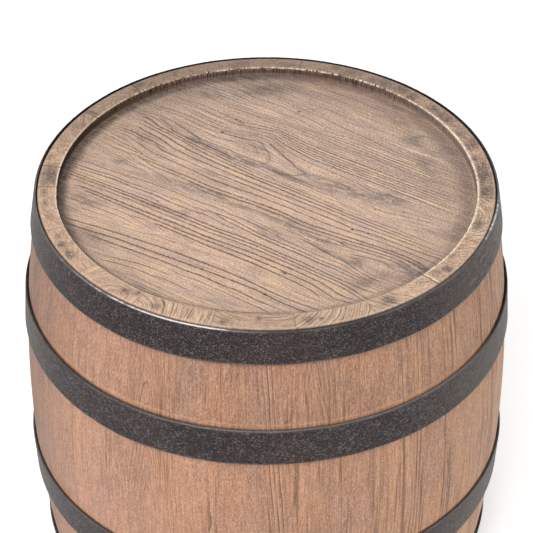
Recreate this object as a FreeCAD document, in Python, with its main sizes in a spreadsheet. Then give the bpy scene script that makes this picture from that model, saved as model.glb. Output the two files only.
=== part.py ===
import FreeCAD, Part
import Sketcher
import math
import os

# Barrel side table, full size, in millimetres.
# Origin: centre of the barrel's foot, on the floor. +Z is up, -Y is the front.
# The staves stand around the Z axis; angles are counted from +X, anticlockwise
# seen from above.

App = FreeCAD
V = App.Vector
doc = App.newDocument("BarrelSideTable")

# ---------------------------------------------------------------- dimensions
sheet = doc.addObject("Spreadsheet::Sheet", "Dims")

DIMS = [
    # the wooden body
    ("height", 550.0),            # overall height, floor to rim
    ("belly_radius", 304.7),      # outer radius of the wood at mid height
    ("end_radius", 280.7),        # outer radius of the wood at the rim and foot
    ("stave_thick", 22.7),        # stave thickness between the heads
    ("chime_radius", 258.0),      # inner radius of the staves past the heads
    ("outer_ease", 2.4),          # worn outer corner of the stave ends
    ("inner_ease", 1.2),          # worn inner corner of the stave ends
    # grooves that hold the heads
    ("recess", 12.0),             # rim to the head's face
    ("croze_drop", 0.5),          # head's face to the groove's upper lip
    ("croze_width", 5.0),
    ("croze_radius", 264.5),      # radius at the groove's bottom
    ("croze_taper", 0.5),
    # heads
    ("head_thick", 20.0),
    ("head_face_radius", 256.6),  # flat face, clear of the staves
    ("head_neck_radius", 257.7),  # where the edge enters the groove
    ("head_edge_radius", 264.2),  # tip of the edge in the groove
    ("head_neck_drop", 0.9),
    ("head_tip_drop", 1.2),
    ("head_tip_thick", 3.4),
    ("head_bevel", 11.0),         # width of the bevel on the hidden side
    # bottom head boards, joints along X at these Y
    ("board_joint_1", -164.0),
    ("board_joint_2", -55.0),
    ("board_joint_3", 52.0),
    ("board_joint_4", 160.0),
    ("board_gap", 0.15),
    ("dowel_radius", 4.0),
    ("dowel_hole_radius", 4.1),
    ("dowel_half", 20.0),
    ("dowel_hole_half", 21.0),
    ("dowel_wide", 130.0),        # dowel offset in the two middle joints
    ("dowel_near", 95.0),         # dowel offset in the two outer joints
    # hoops: height of the lower and upper edge on the upper half of the barrel
    ("chime_hoop_top", 549.0),
    ("chime_hoop_low", 504.7),
    ("bilge_hoop_top", 413.2),
    ("bilge_hoop_low", 363.6),
    ("hoop_thick", 3.2),
    ("hoop_gap_tight", 0.55),     # wood to hoop at the belly side
    ("hoop_gap_slack", 1.1),      # wood to hoop at the other edge
    ("hoop_ease", 0.6),
    ("lap_half", 8.0),            # half sweep of the lap where a hoop is closed
    ("lap_end_gap", 0.04),        # tongue's end to the other shoulder, degrees
    ("tongue_thick", 1.5),        # each end is halved, so the lap lies flush
    ("tongue_gap", 0.2),
    ("rivet_step", 6.2),          # angle between the lap's two rivets
    ("rivet_radius", 3.0),
    ("rivet_hole_radius", 3.3),
    ("rivet_head_radius", 6.5),
    ("rivet_head_rise", 3.2),
    # where each hoop's lap stands around the barrel
    ("upper_chime_lap", 128.0),
    ("upper_bilge_lap", 62.0),
    ("lower_bilge_lap", 118.0),
    ("lower_chime_lap", 54.0),
]

# The 21 stave joints at the rim, in degrees
JOINTS = [-179.0, -160.6, -141.5, -123.5, -103.3, -83.0, -63.3, -44.3, -25.0,
          -5.8, 11.5, 29.5, 46.5, 63.0, 80.5, 95.0, 111.3, 128.5, 146.0,
          160.0, 171.7]
for k, a in enumerate(JOINTS):
    DIMS.append(("joint_%02d" % (k + 1), a))

for row, (alias, value) in enumerate(DIMS, start=1):
    sheet.set("A%d" % row, alias)
    sheet.set("B%d" % row, repr(float(value)))
    sheet.setAlias("B%d" % row, alias)
doc.recompute()


def D(alias):
    return "Dims." + alias


def val(expr):
    out = sheet.evalExpression(expr)
    return float(out.Value) if hasattr(out, "Value") else float(out)


# radius of the bulge's arc, and of the stave's outside at a height
BULGE = ("(((Dims.height / 2) ^ 2 + (Dims.belly_radius - Dims.end_radius) ^ 2)"
         " / (2 * (Dims.belly_radius - Dims.end_radius)))")
ARC_X = "(Dims.belly_radius - %s)" % BULGE


def wood_radius(z_expr):
    return "(%s + sqrt(%s ^ 2 - (%s - Dims.height / 2) ^ 2))" % (ARC_X, BULGE, z_expr)


def inner_radius(z_expr):
    return ("(%s + sqrt((%s - Dims.stave_thick) ^ 2 - (%s - Dims.height / 2) ^ 2))"
            % (ARC_X, BULGE, z_expr))


# ------------------------------------------------------------------- helpers
def plane(body, role):
    for o in body.Origin.OriginFeatures:
        if o.Role == role:
            return o
    raise RuntimeError("no " + role)


def new_body(label):
    b = doc.addObject("PartDesign::Body", "Body_" + label)
    b.Label = label
    return b


def new_sketch(body, name, role, offset=None):
    s = body.newObject("Sketcher::SketchObject", name)
    s.AttachmentSupport = [(plane(body, role), "")]
    s.MapMode = "FlatFace"
    if offset is not None:
        s.AttachmentOffset = offset
    return s


def outline(sk, verts, arcs=None):
    """Closed, fully dimensioned outline.
    verts: list of (x expression, y expression).
    arcs: {index: (radius expression, centre side)} for the edge that starts at
    that vertex; side +1 when the centre is to the left of the direction of
    travel, -1 when it is to the right."""
    arcs = arcs or {}
    n = len(verts)
    num = [(val(x), val(y)) for x, y in verts]
    ends = []
    for i in range(n):
        x0, y0 = num[i]
        x1, y1 = num[(i + 1) % n]
        if i in arcs:
            r = val(arcs[i][0])
            side = arcs[i][1]
            mx, my = (x0 + x1) / 2, (y0 + y1) / 2
            dx, dy = x1 - x0, y1 - y0
            half = math.hypot(dx, dy) / 2
            rise = math.sqrt(max(r * r - half * half, 0))
            cx = mx - side * dy / (2 * half) * rise
            cy = my + side * dx / (2 * half) * rise
            a0 = math.atan2(y0 - cy, x0 - cx)
            a1 = math.atan2(y1 - cy, x1 - cx)
            circle = Part.Circle(V(cx, cy, 0), V(0, 0, 1), r)
            if side > 0:
                g = sk.addGeometry(Part.ArcOfCircle(circle, a0, a1), False)
                ends.append((g, 1, 2))
            else:
                g = sk.addGeometry(Part.ArcOfCircle(circle, a1, a0), False)
                ends.append((g, 2, 1))
        else:
            g = sk.addGeometry(Part.LineSegment(V(x0, y0, 0), V(x1, y1, 0)), False)
            ends.append((g, 1, 2))
    for i in range(n):
        g, _, e = ends[i]
        g2, st, _ = ends[(i + 1) % n]
        sk.addConstraint(Sketcher.Constraint("Coincident", g, e, g2, st))
    for i in range(n):
        g, st, _ = ends[i]
        for kind, value, expr in (("DistanceX", num[i][0], verts[i][0]),
                                  ("DistanceY", num[i][1], verts[i][1])):
            if abs(value) < 1e-9:
                axis = -2 if kind == "DistanceX" else -1
                sk.addConstraint(Sketcher.Constraint("PointOnObject", g, st, axis))
                continue
            c = sk.addConstraint(Sketcher.Constraint(kind, -1, 1, g, st, value))
            sk.setExpression("Constraints[%d]" % c, expr)
    for i, (rexpr, side) in arcs.items():
        c = sk.addConstraint(Sketcher.Constraint("Radius", ends[i][0], val(rexpr)))
        sk.setExpression("Constraints[%d]" % c, rexpr)
    return sk


def revolve(body, sk, name, angle_expr, cut=False, axis="V_Axis"):
    kind = "PartDesign::Groove" if cut else "PartDesign::Revolution"
    r = body.newObject(kind, name)
    r.Profile = sk
    r.ReferenceAxis = (sk, [axis])
    r.Midplane = True
    r.setExpression("Angle", angle_expr)
    sk.Visibility = False
    body.Tip = r
    return r


def spin(body, angle_expr):
    body.Placement = App.Placement(V(0, 0, 0), App.Rotation(V(0, 0, 1), val(angle_expr)))


# -------------------------------------------------------------------- staves
# Each stave is a slice of the bulged wall between two radial planes, with a
# groove near either end for the heads, and with its end corners worn off.
def stave(label, first_expr, last_expr):
    b = new_body(label)
    H = D("height")
    c = D("outer_ease")
    ci = D("inner_ease")
    ri = D("chime_radius")
    lip = "(%s - Dims.recess - Dims.croze_drop)" % H
    low = "(%s - Dims.croze_width)" % lip
    flip = lambda z: "(%s - %s)" % (H, z)
    verts = [
        (wood_radius(c), c),
        (wood_radius("(%s - %s)" % (H, c)), "%s - %s" % (H, c)),
        ("Dims.end_radius - %s" % c, H),
        ("%s + %s" % (ri, ci), H),
        (ri, "%s - %s" % (H, ci)),
        (ri, lip),
        (D("croze_radius"), "%s - Dims.croze_taper" % lip),
        (D("croze_radius"), "%s + Dims.croze_taper" % low),
        (inner_radius(low), low),
        (inner_radius(flip(low)), flip(low)),
        (D("croze_radius"), flip("(%s + Dims.croze_taper)" % low)),
        (D("croze_radius"), flip("(%s - Dims.croze_taper)" % lip)),
        (ri, flip(lip)),
        (ri, ci),
        ("%s + %s" % (ri, ci), "0"),
        ("Dims.end_radius - %s" % c, "0"),
    ]
    arcs = {0: (BULGE, 1), 8: ("(%s - Dims.stave_thick)" % BULGE, -1)}
    sk = outline(new_sketch(b, "Section_" + label, "XZ_Plane"), verts, arcs)
    revolve(b, sk, "Turn_" + label, "(%s) - (%s)" % (last_expr, first_expr))
    spin(b, "((%s) + (%s)) / 2" % (first_expr, last_expr))
    return b


parts = []
nj = len(JOINTS)
for k in range(nj):
    first = "Dims.joint_%02d" % (k + 1)
    last = "Dims.joint_%02d" % (k + 2) if k + 1 < nj else "Dims.joint_01 + 360"
    parts.append(stave("stave_%02d" % (k + 1), first, last))


# --------------------------------------------------------------------- hoops
# A hoop is one flat strip rolled into a cone. Both ends are halved to thin
# tongues that lie one over the other, flush with the rest of the strip, and two
# rivets hold them.
def hoop_section(top, low, upper, inner="0"):
    """Corner points of the strip's section; inner is how far out its inner face
    lies, which is more than nothing for the outer tongue."""
    g_top, g_low = (("hoop_gap_slack", "hoop_gap_tight") if upper
                    else ("hoop_gap_tight", "hoop_gap_slack"))
    x_top = "(%s + %s)" % (wood_radius(top), D(g_top))
    x_low = "(%s + %s)" % (wood_radius(low), D(g_low))
    e = D("hoop_ease")
    w = D("hoop_thick")
    # slope of the section, radius per height
    k = "((%s - %s) / ((%s) - (%s)))" % (x_top, x_low, top, low)
    return [
        ("%s + %s" % (x_low, inner), low),
        ("%s + %s - %s" % (x_low, w, e), low),
        ("%s + %s + %s * %s" % (x_low, w, k, e), "%s + %s" % (low, e)),
        ("%s + %s - %s * %s" % (x_top, w, k, e), "%s - %s" % (top, e)),
        ("%s + %s - %s" % (x_top, w, e), top),
        ("%s + %s" % (x_top, inner), top),
    ]


def inner_tongue_section(top, low, upper):
    sec = hoop_section(top, low, upper)
    (x_low, _), (x_top, _) = sec[0], sec[5]
    return [(x_low, low), ("%s + Dims.tongue_thick" % x_low, low),
            ("%s + Dims.tongue_thick" % x_top, top), (x_top, top)]


def around(angle, inner=None):
    turn = App.Placement(V(0, 0, 0), App.Rotation(V(0, 1, 0), angle))
    return turn if inner is None else turn.multiply(inner)


def rivet_seat(top, low, upper):
    """Mid point of the strip's inner face, and the strip's tilt."""
    sec = hoop_section(top, low, upper)
    x_low, z_low = val(sec[0][0]), val(sec[0][1])
    x_top, z_top = val(sec[5][0]), val(sec[5][1])
    tilt = math.degrees(math.atan2(-(x_top - x_low), z_top - z_low))
    return (x_low + x_top) / 2, (z_low + z_top) / 2, tilt


def turned(body, name, points, centre_expr, sweep_expr):
    """Part of the ring, swept about the angle centre_expr."""
    sk = new_sketch(body, "Section_" + name, "XZ_Plane", around(val(centre_expr)))
    sk.setExpression("AttachmentOffset.Rotation.Angle", "(%s) * 1 deg" % centre_expr)
    outline(sk, points)
    return revolve(body, sk, name, sweep_expr)


def hoop(label, top, low, upper, lap_alias):
    b = new_body(label)
    base = outline(new_sketch(b, "Base_" + label, "XZ_Plane"),
                   hoop_section(top, low, upper))
    revolve(b, base, "Ring_" + label, "2 * (180 - Dims.lap_half)")
    # the tongues run 0.5 degrees into the ring that they belong to
    sweep = "2 * Dims.lap_half - Dims.lap_end_gap + 0.5"
    turned(b, "InnerTongue_" + label, inner_tongue_section(top, low, upper),
           "180 - (Dims.lap_end_gap + 0.5) / 2", sweep)
    turned(b, "OuterTongue_" + label,
           hoop_section(top, low, upper, "(Dims.tongue_thick + Dims.tongue_gap)"),
           "180 + (Dims.lap_end_gap + 0.5) / 2", sweep)

    # rivet holes through both tongues
    xm, zm, tilt = rivet_seat(top, low, upper)
    seat = App.Placement(V(xm, zm, 0), App.Rotation(V(0, 0, 1), tilt))
    s4 = new_sketch(b, "Hole_" + label, "XZ_Plane",
                    around(val("180 - Dims.rivet_step / 2"), seat))
    outline(s4, [("-3", "0"), ("Dims.hoop_thick + 3", "0"),
                 ("Dims.hoop_thick + 3", D("rivet_hole_radius")),
                 ("-3", D("rivet_hole_radius"))])
    cut = revolve(b, s4, "RivetHole_" + label, "360", cut=True, axis="H_Axis")
    pat = b.newObject("PartDesign::PolarPattern", "RivetHoles_" + label)
    pat.Originals = [cut]
    pat.Axis = (plane(b, "Z_Axis"), [""])
    pat.setExpression("Angle", "Dims.rivet_step * 1 deg")
    pat.Occurrences = 2
    b.Tip = pat
    spin(b, "%s + 180" % D(lap_alias))
    return b


# ------------------------------------------------------------- hoop rivets
# Domed head outside, shank through both tongues, end flush inside.
def rivets(label, top, low, upper, lap_alias):
    b = new_body(label)
    if "AllowCompound" in b.PropertiesList:
        b.AllowCompound = True
    xm, zm, tilt = rivet_seat(top, low, upper)
    seat = App.Placement(V(xm, zm, 0), App.Rotation(V(0, 0, 1), tilt))
    sk = new_sketch(b, "Section_" + label, "XZ_Plane",
                    around(val("180 - Dims.rivet_step / 2"), seat))
    under = "(Dims.hoop_thick + 0.05)"
    dome = ("((Dims.rivet_head_radius ^ 2 + (Dims.rivet_head_rise - 0.6) ^ 2)"
            " / (2 * (Dims.rivet_head_rise - 0.6)))")
    outline(sk, [
        ("0.15", "0"),
        ("%s + Dims.rivet_head_rise" % under, "0"),
        ("%s + 0.6" % under, D("rivet_head_radius")),
        (under, D("rivet_head_radius")),
        (under, D("rivet_radius")),
        ("0.15", D("rivet_radius")),
    ], {1: (dome, 1)})
    rev = revolve(b, sk, "Rivet_" + label, "360", axis="H_Axis")
    pat = b.newObject("PartDesign::PolarPattern", "Rivets_" + label)
    pat.Originals = [rev]
    pat.Axis = (plane(b, "Z_Axis"), [""])
    pat.setExpression("Angle", "Dims.rivet_step * 1 deg")
    pat.Occurrences = 2
    b.Tip = pat
    spin(b, "%s + 180" % D(lap_alias))
    return b


H = D("height")
flip = lambda z: "(%s - %s)" % (H, z)
HOOPS = [
    ("upper_chime_hoop", D("chime_hoop_top"), D("chime_hoop_low"), True, "upper_chime_lap"),
    ("upper_bilge_hoop", D("bilge_hoop_top"), D("bilge_hoop_low"), True, "upper_bilge_lap"),
    ("lower_bilge_hoop", flip(D("bilge_hoop_low")), flip(D("bilge_hoop_top")), False,
     "lower_bilge_lap"),
    ("lower_chime_hoop", flip(D("chime_hoop_low")), flip(D("chime_hoop_top")), False,
     "lower_chime_lap"),
]
for name, top, low, upper, lap in HOOPS:
    parts.append(hoop(name, top, low, upper, lap))
for name, top, low, upper, lap in HOOPS:
    parts.append(rivets(name + "_rivets", top, low, upper, lap))


# --------------------------------------------------------------------- heads
# A head's section: flat face, slight fall into the groove, thin tip, and a
# wide bevel on the hidden side. face is the height of the flat face, way is
# +1 when the hidden side is above it and -1 when it is below.
def head_section(face, way):
    at = lambda d: "(%s %s %s)" % (face, "+" if way > 0 else "-", d)
    tip = "(Dims.head_tip_drop + Dims.head_tip_thick)"
    neck = "(%s + 0.3)" % tip
    pts = [
        ("0", face),
        (D("head_face_radius"), face),
        (D("head_neck_radius"), at(D("head_neck_drop"))),
        (D("head_edge_radius"), at(D("head_tip_drop"))),
        (D("head_edge_radius"), at(tip)),
        (D("head_neck_radius"), at(neck)),
        ("Dims.head_neck_radius - Dims.head_bevel", at(D("head_thick"))),
        ("0", at(D("head_thick"))),
    ]
    return pts if way > 0 else pts[::-1]


def turned_head(b, label, face, way):
    sk = outline(new_sketch(b, "Section_" + label, "XZ_Plane"), head_section(face, way))
    return revolve(b, sk, "Turn_" + label, "360")


# the top: one wide glued-up panel
top_head = new_body("top_head_panel")
turned_head(top_head, "top_head_panel", "(%s - Dims.recess)" % H, -1)
parts.append(top_head)


# the bottom: five boards, cut from the same turned shape
def bottom_board(label, lo_expr, hi_expr, holes):
    b = new_body(label)
    turned_head(b, label, D("recess"), 1)
    big = "(Dims.head_edge_radius + 20)"
    doc.recompute()
    whole = b.Shape.Volume
    for tag, edge, way in (("Low", lo_expr, -1), ("High", hi_expr, 1)):
        if edge is None:
            continue
        sk = new_sketch(b, "Trim%s_%s" % (tag, label), "XY_Plane")
        far = "(%s * %d)" % (big, way)
        near = "(%s %s Dims.board_gap / 2)" % (edge, "-" if way > 0 else "+")
        ys = (near, far) if way > 0 else (far, near)
        outline(sk, [("-1 * " + big, ys[0]), (big, ys[0]), (big, ys[1]),
                     ("-1 * " + big, ys[1])])
        p = b.newObject("PartDesign::Pocket", "Cut%s_%s" % (tag, label))
        p.Profile = sk
        p.Type = "ThroughAll"
        p.Midplane = True
        sk.Visibility = False
        b.Tip = p
        doc.recompute()
        now = b.Shape.Volume
        if not now < whole - 1000:
            raise RuntimeError("trim cut nothing on " + label)
        whole = now
    # dowel holes, along Y
    mid = "(Dims.recess + Dims.head_thick / 2)"
    for i, (edge, off) in enumerate(holes):
        for j, sgn in enumerate((-1, 1)):
            c = b.newObject("PartDesign::SubtractiveCylinder", "Dowel%d%d_%s" % (i, j, label))
            c.setExpression("Radius", D("dowel_hole_radius"))
            c.setExpression("Height", "2 * Dims.dowel_hole_half")
            c.Placement = App.Placement(
                V(sgn * val(off), val(edge) - val(D("dowel_hole_half")), val(mid)),
                App.Rotation(V(1, 0, 0), -90))
            b.Tip = c
            doc.recompute()
            now = b.Shape.Volume
            if not now < whole - 100:
                raise RuntimeError("dowel hole cut nothing on " + label)
            whole = now
    return b


edges = [None] + [D("board_joint_%d" % i) for i in (1, 2, 3, 4)] + [None]
offs = {1: D("dowel_near"), 2: D("dowel_wide"), 3: D("dowel_wide"), 4: D("dowel_near")}
for k in range(5):
    holes = []
    if k > 0:
        holes.append((edges[k], offs[k]))
    if k < 4:
        holes.append((edges[k + 1], offs[k + 1]))
    parts.append(bottom_board("bottom_head_board_%d" % (k + 1), edges[k], edges[k + 1], holes))

# the eight dowels, two in each joint
dowels = []
mid = "(Dims.recess + Dims.head_thick / 2)"
for k in (1, 2, 3, 4):
    for j, sgn in enumerate((-1, 1)):
        c = doc.addObject("Part::Cylinder", "Dowel_%d_%d" % (k, j))
        c.setExpression("Radius", D("dowel_radius"))
        c.setExpression("Height", "2 * Dims.dowel_half")
        c.Placement = App.Placement(
            V(sgn * val(offs[k]), val(edges[k]) - val(D("dowel_half")), val(mid)),
            App.Rotation(V(1, 0, 0), -90))
        dowels.append(c)
group = doc.addObject("Part::Compound", "Dowels")
group.Links = dowels
group.Label = "bottom_head_dowels"
group.Placement = App.Placement(V(0, 0, 0), App.Rotation(V(0, 0, 1), 0))
parts.append(group)

# ------------------------------------------------------- checks and export
doc.recompute()
bad = []
for o in doc.Objects:
    st = [str(x) for x in getattr(o, "State", [])]
    if any(x in ("Invalid", "Error") for x in st):
        bad.append((o.Name, st))
for sk in [o for o in doc.Objects if o.TypeId == "Sketcher::SketchObject"]:
    if sk.solve() != 0:
        bad.append((sk.Name, "sketch does not solve"))
if bad:
    raise RuntimeError("failed objects: %s" % bad)

os.makedirs("parts", exist_ok=True)
seen = set()
for p in parts:
    shape = p.Shape
    if shape.isNull() or not shape.isValid() or shape.Volume <= 0:
        raise RuntimeError("bad shape: " + p.Label)
    if p.Label in seen:
        raise RuntimeError("label used twice: " + p.Label)
    seen.add(p.Label)
for p in parts:
    p.Shape.exportStep("parts/%s.step" % p.Label)
    bb = p.Shape.BoundBox
    print("%-26s solids %d  vol %10.0f  z %7.2f %7.2f  r<= %7.2f"
          % (p.Label, len(p.Shape.Solids), p.Shape.Volume, bb.ZMin, bb.ZMax,
             max(math.hypot(vx.X, vx.Y) for vx in p.Shape.Vertexes)))
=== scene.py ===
import math

import bpy
import numpy as np
from mathutils import Matrix, Vector


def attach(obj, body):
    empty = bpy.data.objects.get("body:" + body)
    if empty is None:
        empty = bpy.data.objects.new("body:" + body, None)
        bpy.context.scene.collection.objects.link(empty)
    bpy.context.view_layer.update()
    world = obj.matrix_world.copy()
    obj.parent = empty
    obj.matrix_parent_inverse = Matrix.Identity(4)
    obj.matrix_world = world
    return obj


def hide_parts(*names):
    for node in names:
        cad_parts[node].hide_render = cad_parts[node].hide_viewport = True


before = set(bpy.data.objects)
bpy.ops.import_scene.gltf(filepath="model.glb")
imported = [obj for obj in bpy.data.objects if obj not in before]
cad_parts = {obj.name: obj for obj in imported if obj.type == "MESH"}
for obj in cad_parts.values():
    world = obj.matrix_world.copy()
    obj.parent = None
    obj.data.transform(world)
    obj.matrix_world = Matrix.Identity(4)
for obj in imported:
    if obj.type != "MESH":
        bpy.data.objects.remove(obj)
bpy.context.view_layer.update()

# Barrel side table, visual model. Lengths are millimetres while a mesh is worked
# out and metres once it is made. Angles are degrees from +X, anticlockwise seen
# from above; the front is -90.

# ------------------------------------------------------------------ dimensions
H = 550.0
BELLY, ENDR, THICK = 304.7, 280.7, 22.7
CHIME_R = 258.0
RHO = ((H / 2) ** 2 + (BELLY - ENDR) ** 2) / (2 * (BELLY - ENDR))
ARCX = BELLY - RHO
JOINTS = [-179.0, -160.6, -141.5, -123.5, -103.3, -83.0, -63.3, -44.3, -25.0,
          -5.8, 11.5, 29.5, 46.5, 63.0, 80.5, 95.0, 111.3, 128.5, 146.0,
          160.0, 171.7]
HOOPS = {  # top, low, upper half, lap angle
    "upper_chime_hoop": (549.0, 504.7, True, 128.0),
    "upper_bilge_hoop": (413.2, 363.6, True, 62.0),
    "lower_bilge_hoop": (186.4, 136.8, False, 118.0),
    "lower_chime_hoop": (45.3, 1.0, False, 54.0),
}
BOARD_JOINTS = (-164.0, -55.0, 52.0, 160.0)


def wood_r(z):
    return ARCX + np.sqrt(RHO ** 2 - (z - H / 2) ** 2)


def inner_r(z):
    return ARCX + np.sqrt((RHO - THICK) ** 2 - (z - H / 2) ** 2)


# ------------------------------------------------------------- seeded noise
def hash01(ix, iy, seed):
    with np.errstate(over="ignore"):
        a = np.asarray(ix).astype(np.int64).astype(np.uint32)
        b = np.asarray(iy).astype(np.int64).astype(np.uint32)
        h = (a * np.uint32(374761393) + b * np.uint32(668265263)
             + np.uint32((seed * 2246822519) & 0xFFFFFFFF))
        h = (h ^ (h >> np.uint32(13))) * np.uint32(1274126177)
        h ^= h >> np.uint32(16)
    return h.astype(float) / 4294967296.0


def noise2(x, y, seed=0):
    """Gradient noise, about -1 to 1."""
    x, y = np.broadcast_arrays(np.asarray(x, float), np.asarray(y, float))
    x0, y0 = np.floor(x), np.floor(y)
    fx, fy = x - x0, y - y0
    sx = fx * fx * fx * (fx * (fx * 6 - 15) + 10)
    sy = fy * fy * fy * (fy * (fy * 6 - 15) + 10)
    r = []
    for dy in (0, 1):
        for dx in (0, 1):
            a = hash01(x0 + dx, y0 + dy, seed) * 2 * np.pi
            r.append(np.cos(a) * (fx - dx) + np.sin(a) * (fy - dy))
    a = r[0] + (r[1] - r[0]) * sx
    b = r[2] + (r[3] - r[2]) * sx
    return (a + (b - a) * sy) * 1.4


def smooth(e0, e1, x):
    t = np.clip((x - e0) / (e1 - e0), 0, 1)
    return t * t * (3 - 2 * t)


def blob(x, y, cx, cy, sx, sy, rot=0.0):
    c, s = math.cos(math.radians(rot)), math.sin(math.radians(rot))
    a = (x - cx) * c + (y - cy) * s
    b = -(x - cx) * s + (y - cy) * c
    return np.exp(-0.5 * ((a / sx) ** 2 + (b / sy) ** 2))


def wrap(a):
    return (a + 180.0) % 360.0 - 180.0


# ------------------------------------------------------------------- meshes
def make_mesh(name, co_mm, faces, attrs, material):
    """faces: list of integer arrays, each (n, sides). attrs: {name: array}."""
    me = bpy.data.meshes.new(name)
    co = np.asarray(co_mm, float) / 1000.0
    me.vertices.add(len(co))
    me.vertices.foreach_set("co", co.astype(np.float32).ravel())
    sizes = np.concatenate([np.full(len(f), f.shape[1]) for f in faces])
    index = np.concatenate([f.ravel() for f in faces])
    starts = np.concatenate([[0], np.cumsum(sizes)[:-1]])
    me.loops.add(len(index))
    me.loops.foreach_set("vertex_index", index.astype(np.int32))
    me.polygons.add(len(sizes))
    me.polygons.foreach_set("loop_start", starts.astype(np.int32))
    me.polygons.foreach_set("use_smooth", np.ones(len(sizes), bool))
    me.update(calc_edges=True)
    me.validate()
    for key, arr in attrs.items():
        arr = np.asarray(arr, np.float32)
        if arr.ndim == 2:
            a = me.attributes.new(key, "FLOAT_VECTOR", "POINT")
            a.data.foreach_set("vector", arr.ravel())
        else:
            a = me.attributes.new(key, "FLOAT", "POINT")
            a.data.foreach_set("value", arr.ravel())
    ob = bpy.data.objects.new(name, me)
    bpy.context.scene.collection.objects.link(ob)
    me.materials.append(material)
    return ob


def grid_quads(rows, cols, base=0, close_rows=False, close_cols=False, flip=False):
    """Quads of a rows x cols block of vertices numbered row by row."""
    r = np.arange(rows if close_rows else rows - 1)
    c = np.arange(cols if close_cols else cols - 1)
    R, C = np.meshgrid(r, c, indexing="ij")
    R2, C2 = (R + 1) % rows, (C + 1) % cols
    q = np.stack([R * cols + C, R2 * cols + C, R2 * cols + C2, R * cols + C2], -1)
    q = q.reshape(-1, 4) + base
    return q[:, ::-1] if flip else q


# ---------------------------------------------------------------- materials
def srgb(r, g, b):
    out = []
    for c in (r, g, b):
        c = c / 255.0
        out.append(c / 12.92 if c <= 0.04045 else ((c + 0.055) / 1.055) ** 2.4)
    return (out[0], out[1], out[2], 1.0)


class Surface:
    """A node material and the short forms used to write it."""

    def __init__(self, name):
        self.mat = bpy.data.materials.new(name)
        self.mat.use_nodes = True
        self.nt = self.mat.node_tree
        self.nt.nodes.clear()
        self.out = self.nt.nodes.new("ShaderNodeOutputMaterial")
        self.bsdf = self.nt.nodes.new("ShaderNodeBsdfPrincipled")
        self.nt.links.new(self.bsdf.outputs[0], self.out.inputs[0])

    def put(self, socket, value):
        if isinstance(value, bpy.types.NodeSocket):
            self.nt.links.new(value, socket)
        elif isinstance(value, (tuple, list)) and len(value) == 4 \
                and len(socket.default_value) == 3:
            socket.default_value = value[:3]
        else:
            socket.default_value = value

    def attr(self, name, vector=False):
        n = self.nt.nodes.new("ShaderNodeAttribute")
        n.attribute_type = "GEOMETRY"
        n.attribute_name = name
        return n.outputs["Vector" if vector else "Fac"]

    def place(self):
        return self.nt.nodes.new("ShaderNodeTexCoord").outputs["Object"]

    def m(self, op, a, b=None, c=None, clamp=False):
        n = self.nt.nodes.new("ShaderNodeMath")
        n.operation = op
        n.use_clamp = clamp
        for i, v in enumerate((a, b, c)):
            if v is not None:
                self.put(n.inputs[i], v)
        return n.outputs[0]

    def add(self, a, b): return self.m("ADD", a, b)
    def sub(self, a, b): return self.m("SUBTRACT", a, b)
    def mul(self, a, b, clamp=False): return self.m("MULTIPLY", a, b, clamp=clamp)

    def split(self, v):
        n = self.nt.nodes.new("ShaderNodeSeparateXYZ")
        self.put(n.inputs[0], v)
        return n.outputs

    def vec(self, x, y, z):
        n = self.nt.nodes.new("ShaderNodeCombineXYZ")
        for i, v in enumerate((x, y, z)):
            self.put(n.inputs[i], v)
        return n.outputs[0]

    def noise(self, vec, scale=1.0, detail=2.0, rough=0.5, dist=0.0):
        """Noise in 0 to 1 around one half."""
        n = self.nt.nodes.new("ShaderNodeTexNoise")
        n.noise_dimensions = "3D"
        self.put(n.inputs["Vector"], vec)
        n.inputs["Scale"].default_value = scale
        n.inputs["Detail"].default_value = detail
        n.inputs["Roughness"].default_value = rough
        n.inputs["Distortion"].default_value = dist
        return n.outputs[0]

    def cells(self, vec, scale=1.0, rnd=1.0, feature="F1"):
        n = self.nt.nodes.new("ShaderNodeTexVoronoi")
        n.feature = feature
        self.put(n.inputs["Vector"], vec)
        n.inputs["Scale"].default_value = scale
        n.inputs["Randomness"].default_value = rnd
        return n.outputs["Distance"]

    def white(self, w):
        n = self.nt.nodes.new("ShaderNodeTexWhiteNoise")
        n.noise_dimensions = "1D"
        self.put(n.inputs["W"], w)
        return n.outputs["Value"]

    def remap(self, v, a0, a1, b0=0.0, b1=1.0, kind="SMOOTHSTEP"):
        n = self.nt.nodes.new("ShaderNodeMapRange")
        n.interpolation_type = kind
        n.clamp = True
        for i, x in enumerate((v, a0, a1, b0, b1)):
            self.put(n.inputs[i], x)
        return n.outputs[0]

    def mix(self, fac, a, b, blend="MIX"):
        n = self.nt.nodes.new("ShaderNodeMix")
        n.data_type = "RGBA"
        n.blend_type = blend
        n.clamp_factor = True
        self.put(n.inputs[0], fac)
        self.put(n.inputs[6], a)
        self.put(n.inputs[7], b)
        return n.outputs[2]

    def scale_colour(self, colour, factor):
        n = self.nt.nodes.new("ShaderNodeVectorMath")
        n.operation = "SCALE"
        self.put(n.inputs[0], colour)
        self.put(n.inputs["Scale"], factor)
        return n.outputs[0]

    def bump(self, height_mm, strength=1.0, below=None):
        n = self.nt.nodes.new("ShaderNodeBump")
        n.inputs["Strength"].default_value = strength
        n.inputs["Distance"].default_value = 0.001
        self.put(n.inputs["Height"], height_mm)
        if below is not None:
            self.put(n.inputs["Normal"], below)
        return n.outputs[0]

    def finish(self, colour, roughness, normal, specular=0.5, metallic=0.0):
        b = self.bsdf
        self.put(b.inputs["Base Color"], colour)
        self.put(b.inputs["Roughness"], roughness)
        self.put(b.inputs["Normal"], normal)
        b.inputs["Specular IOR Level"].default_value = specular
        b.inputs["Metallic"].default_value = metallic
        return self.mat


def gauss1(s, x, width):
    """exp(-(x / width)^2) of a socket."""
    q = s.mul(x, 1.0 / width)
    return s.m("EXPONENT", s.mul(s.mul(q, q), -1.0))


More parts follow.
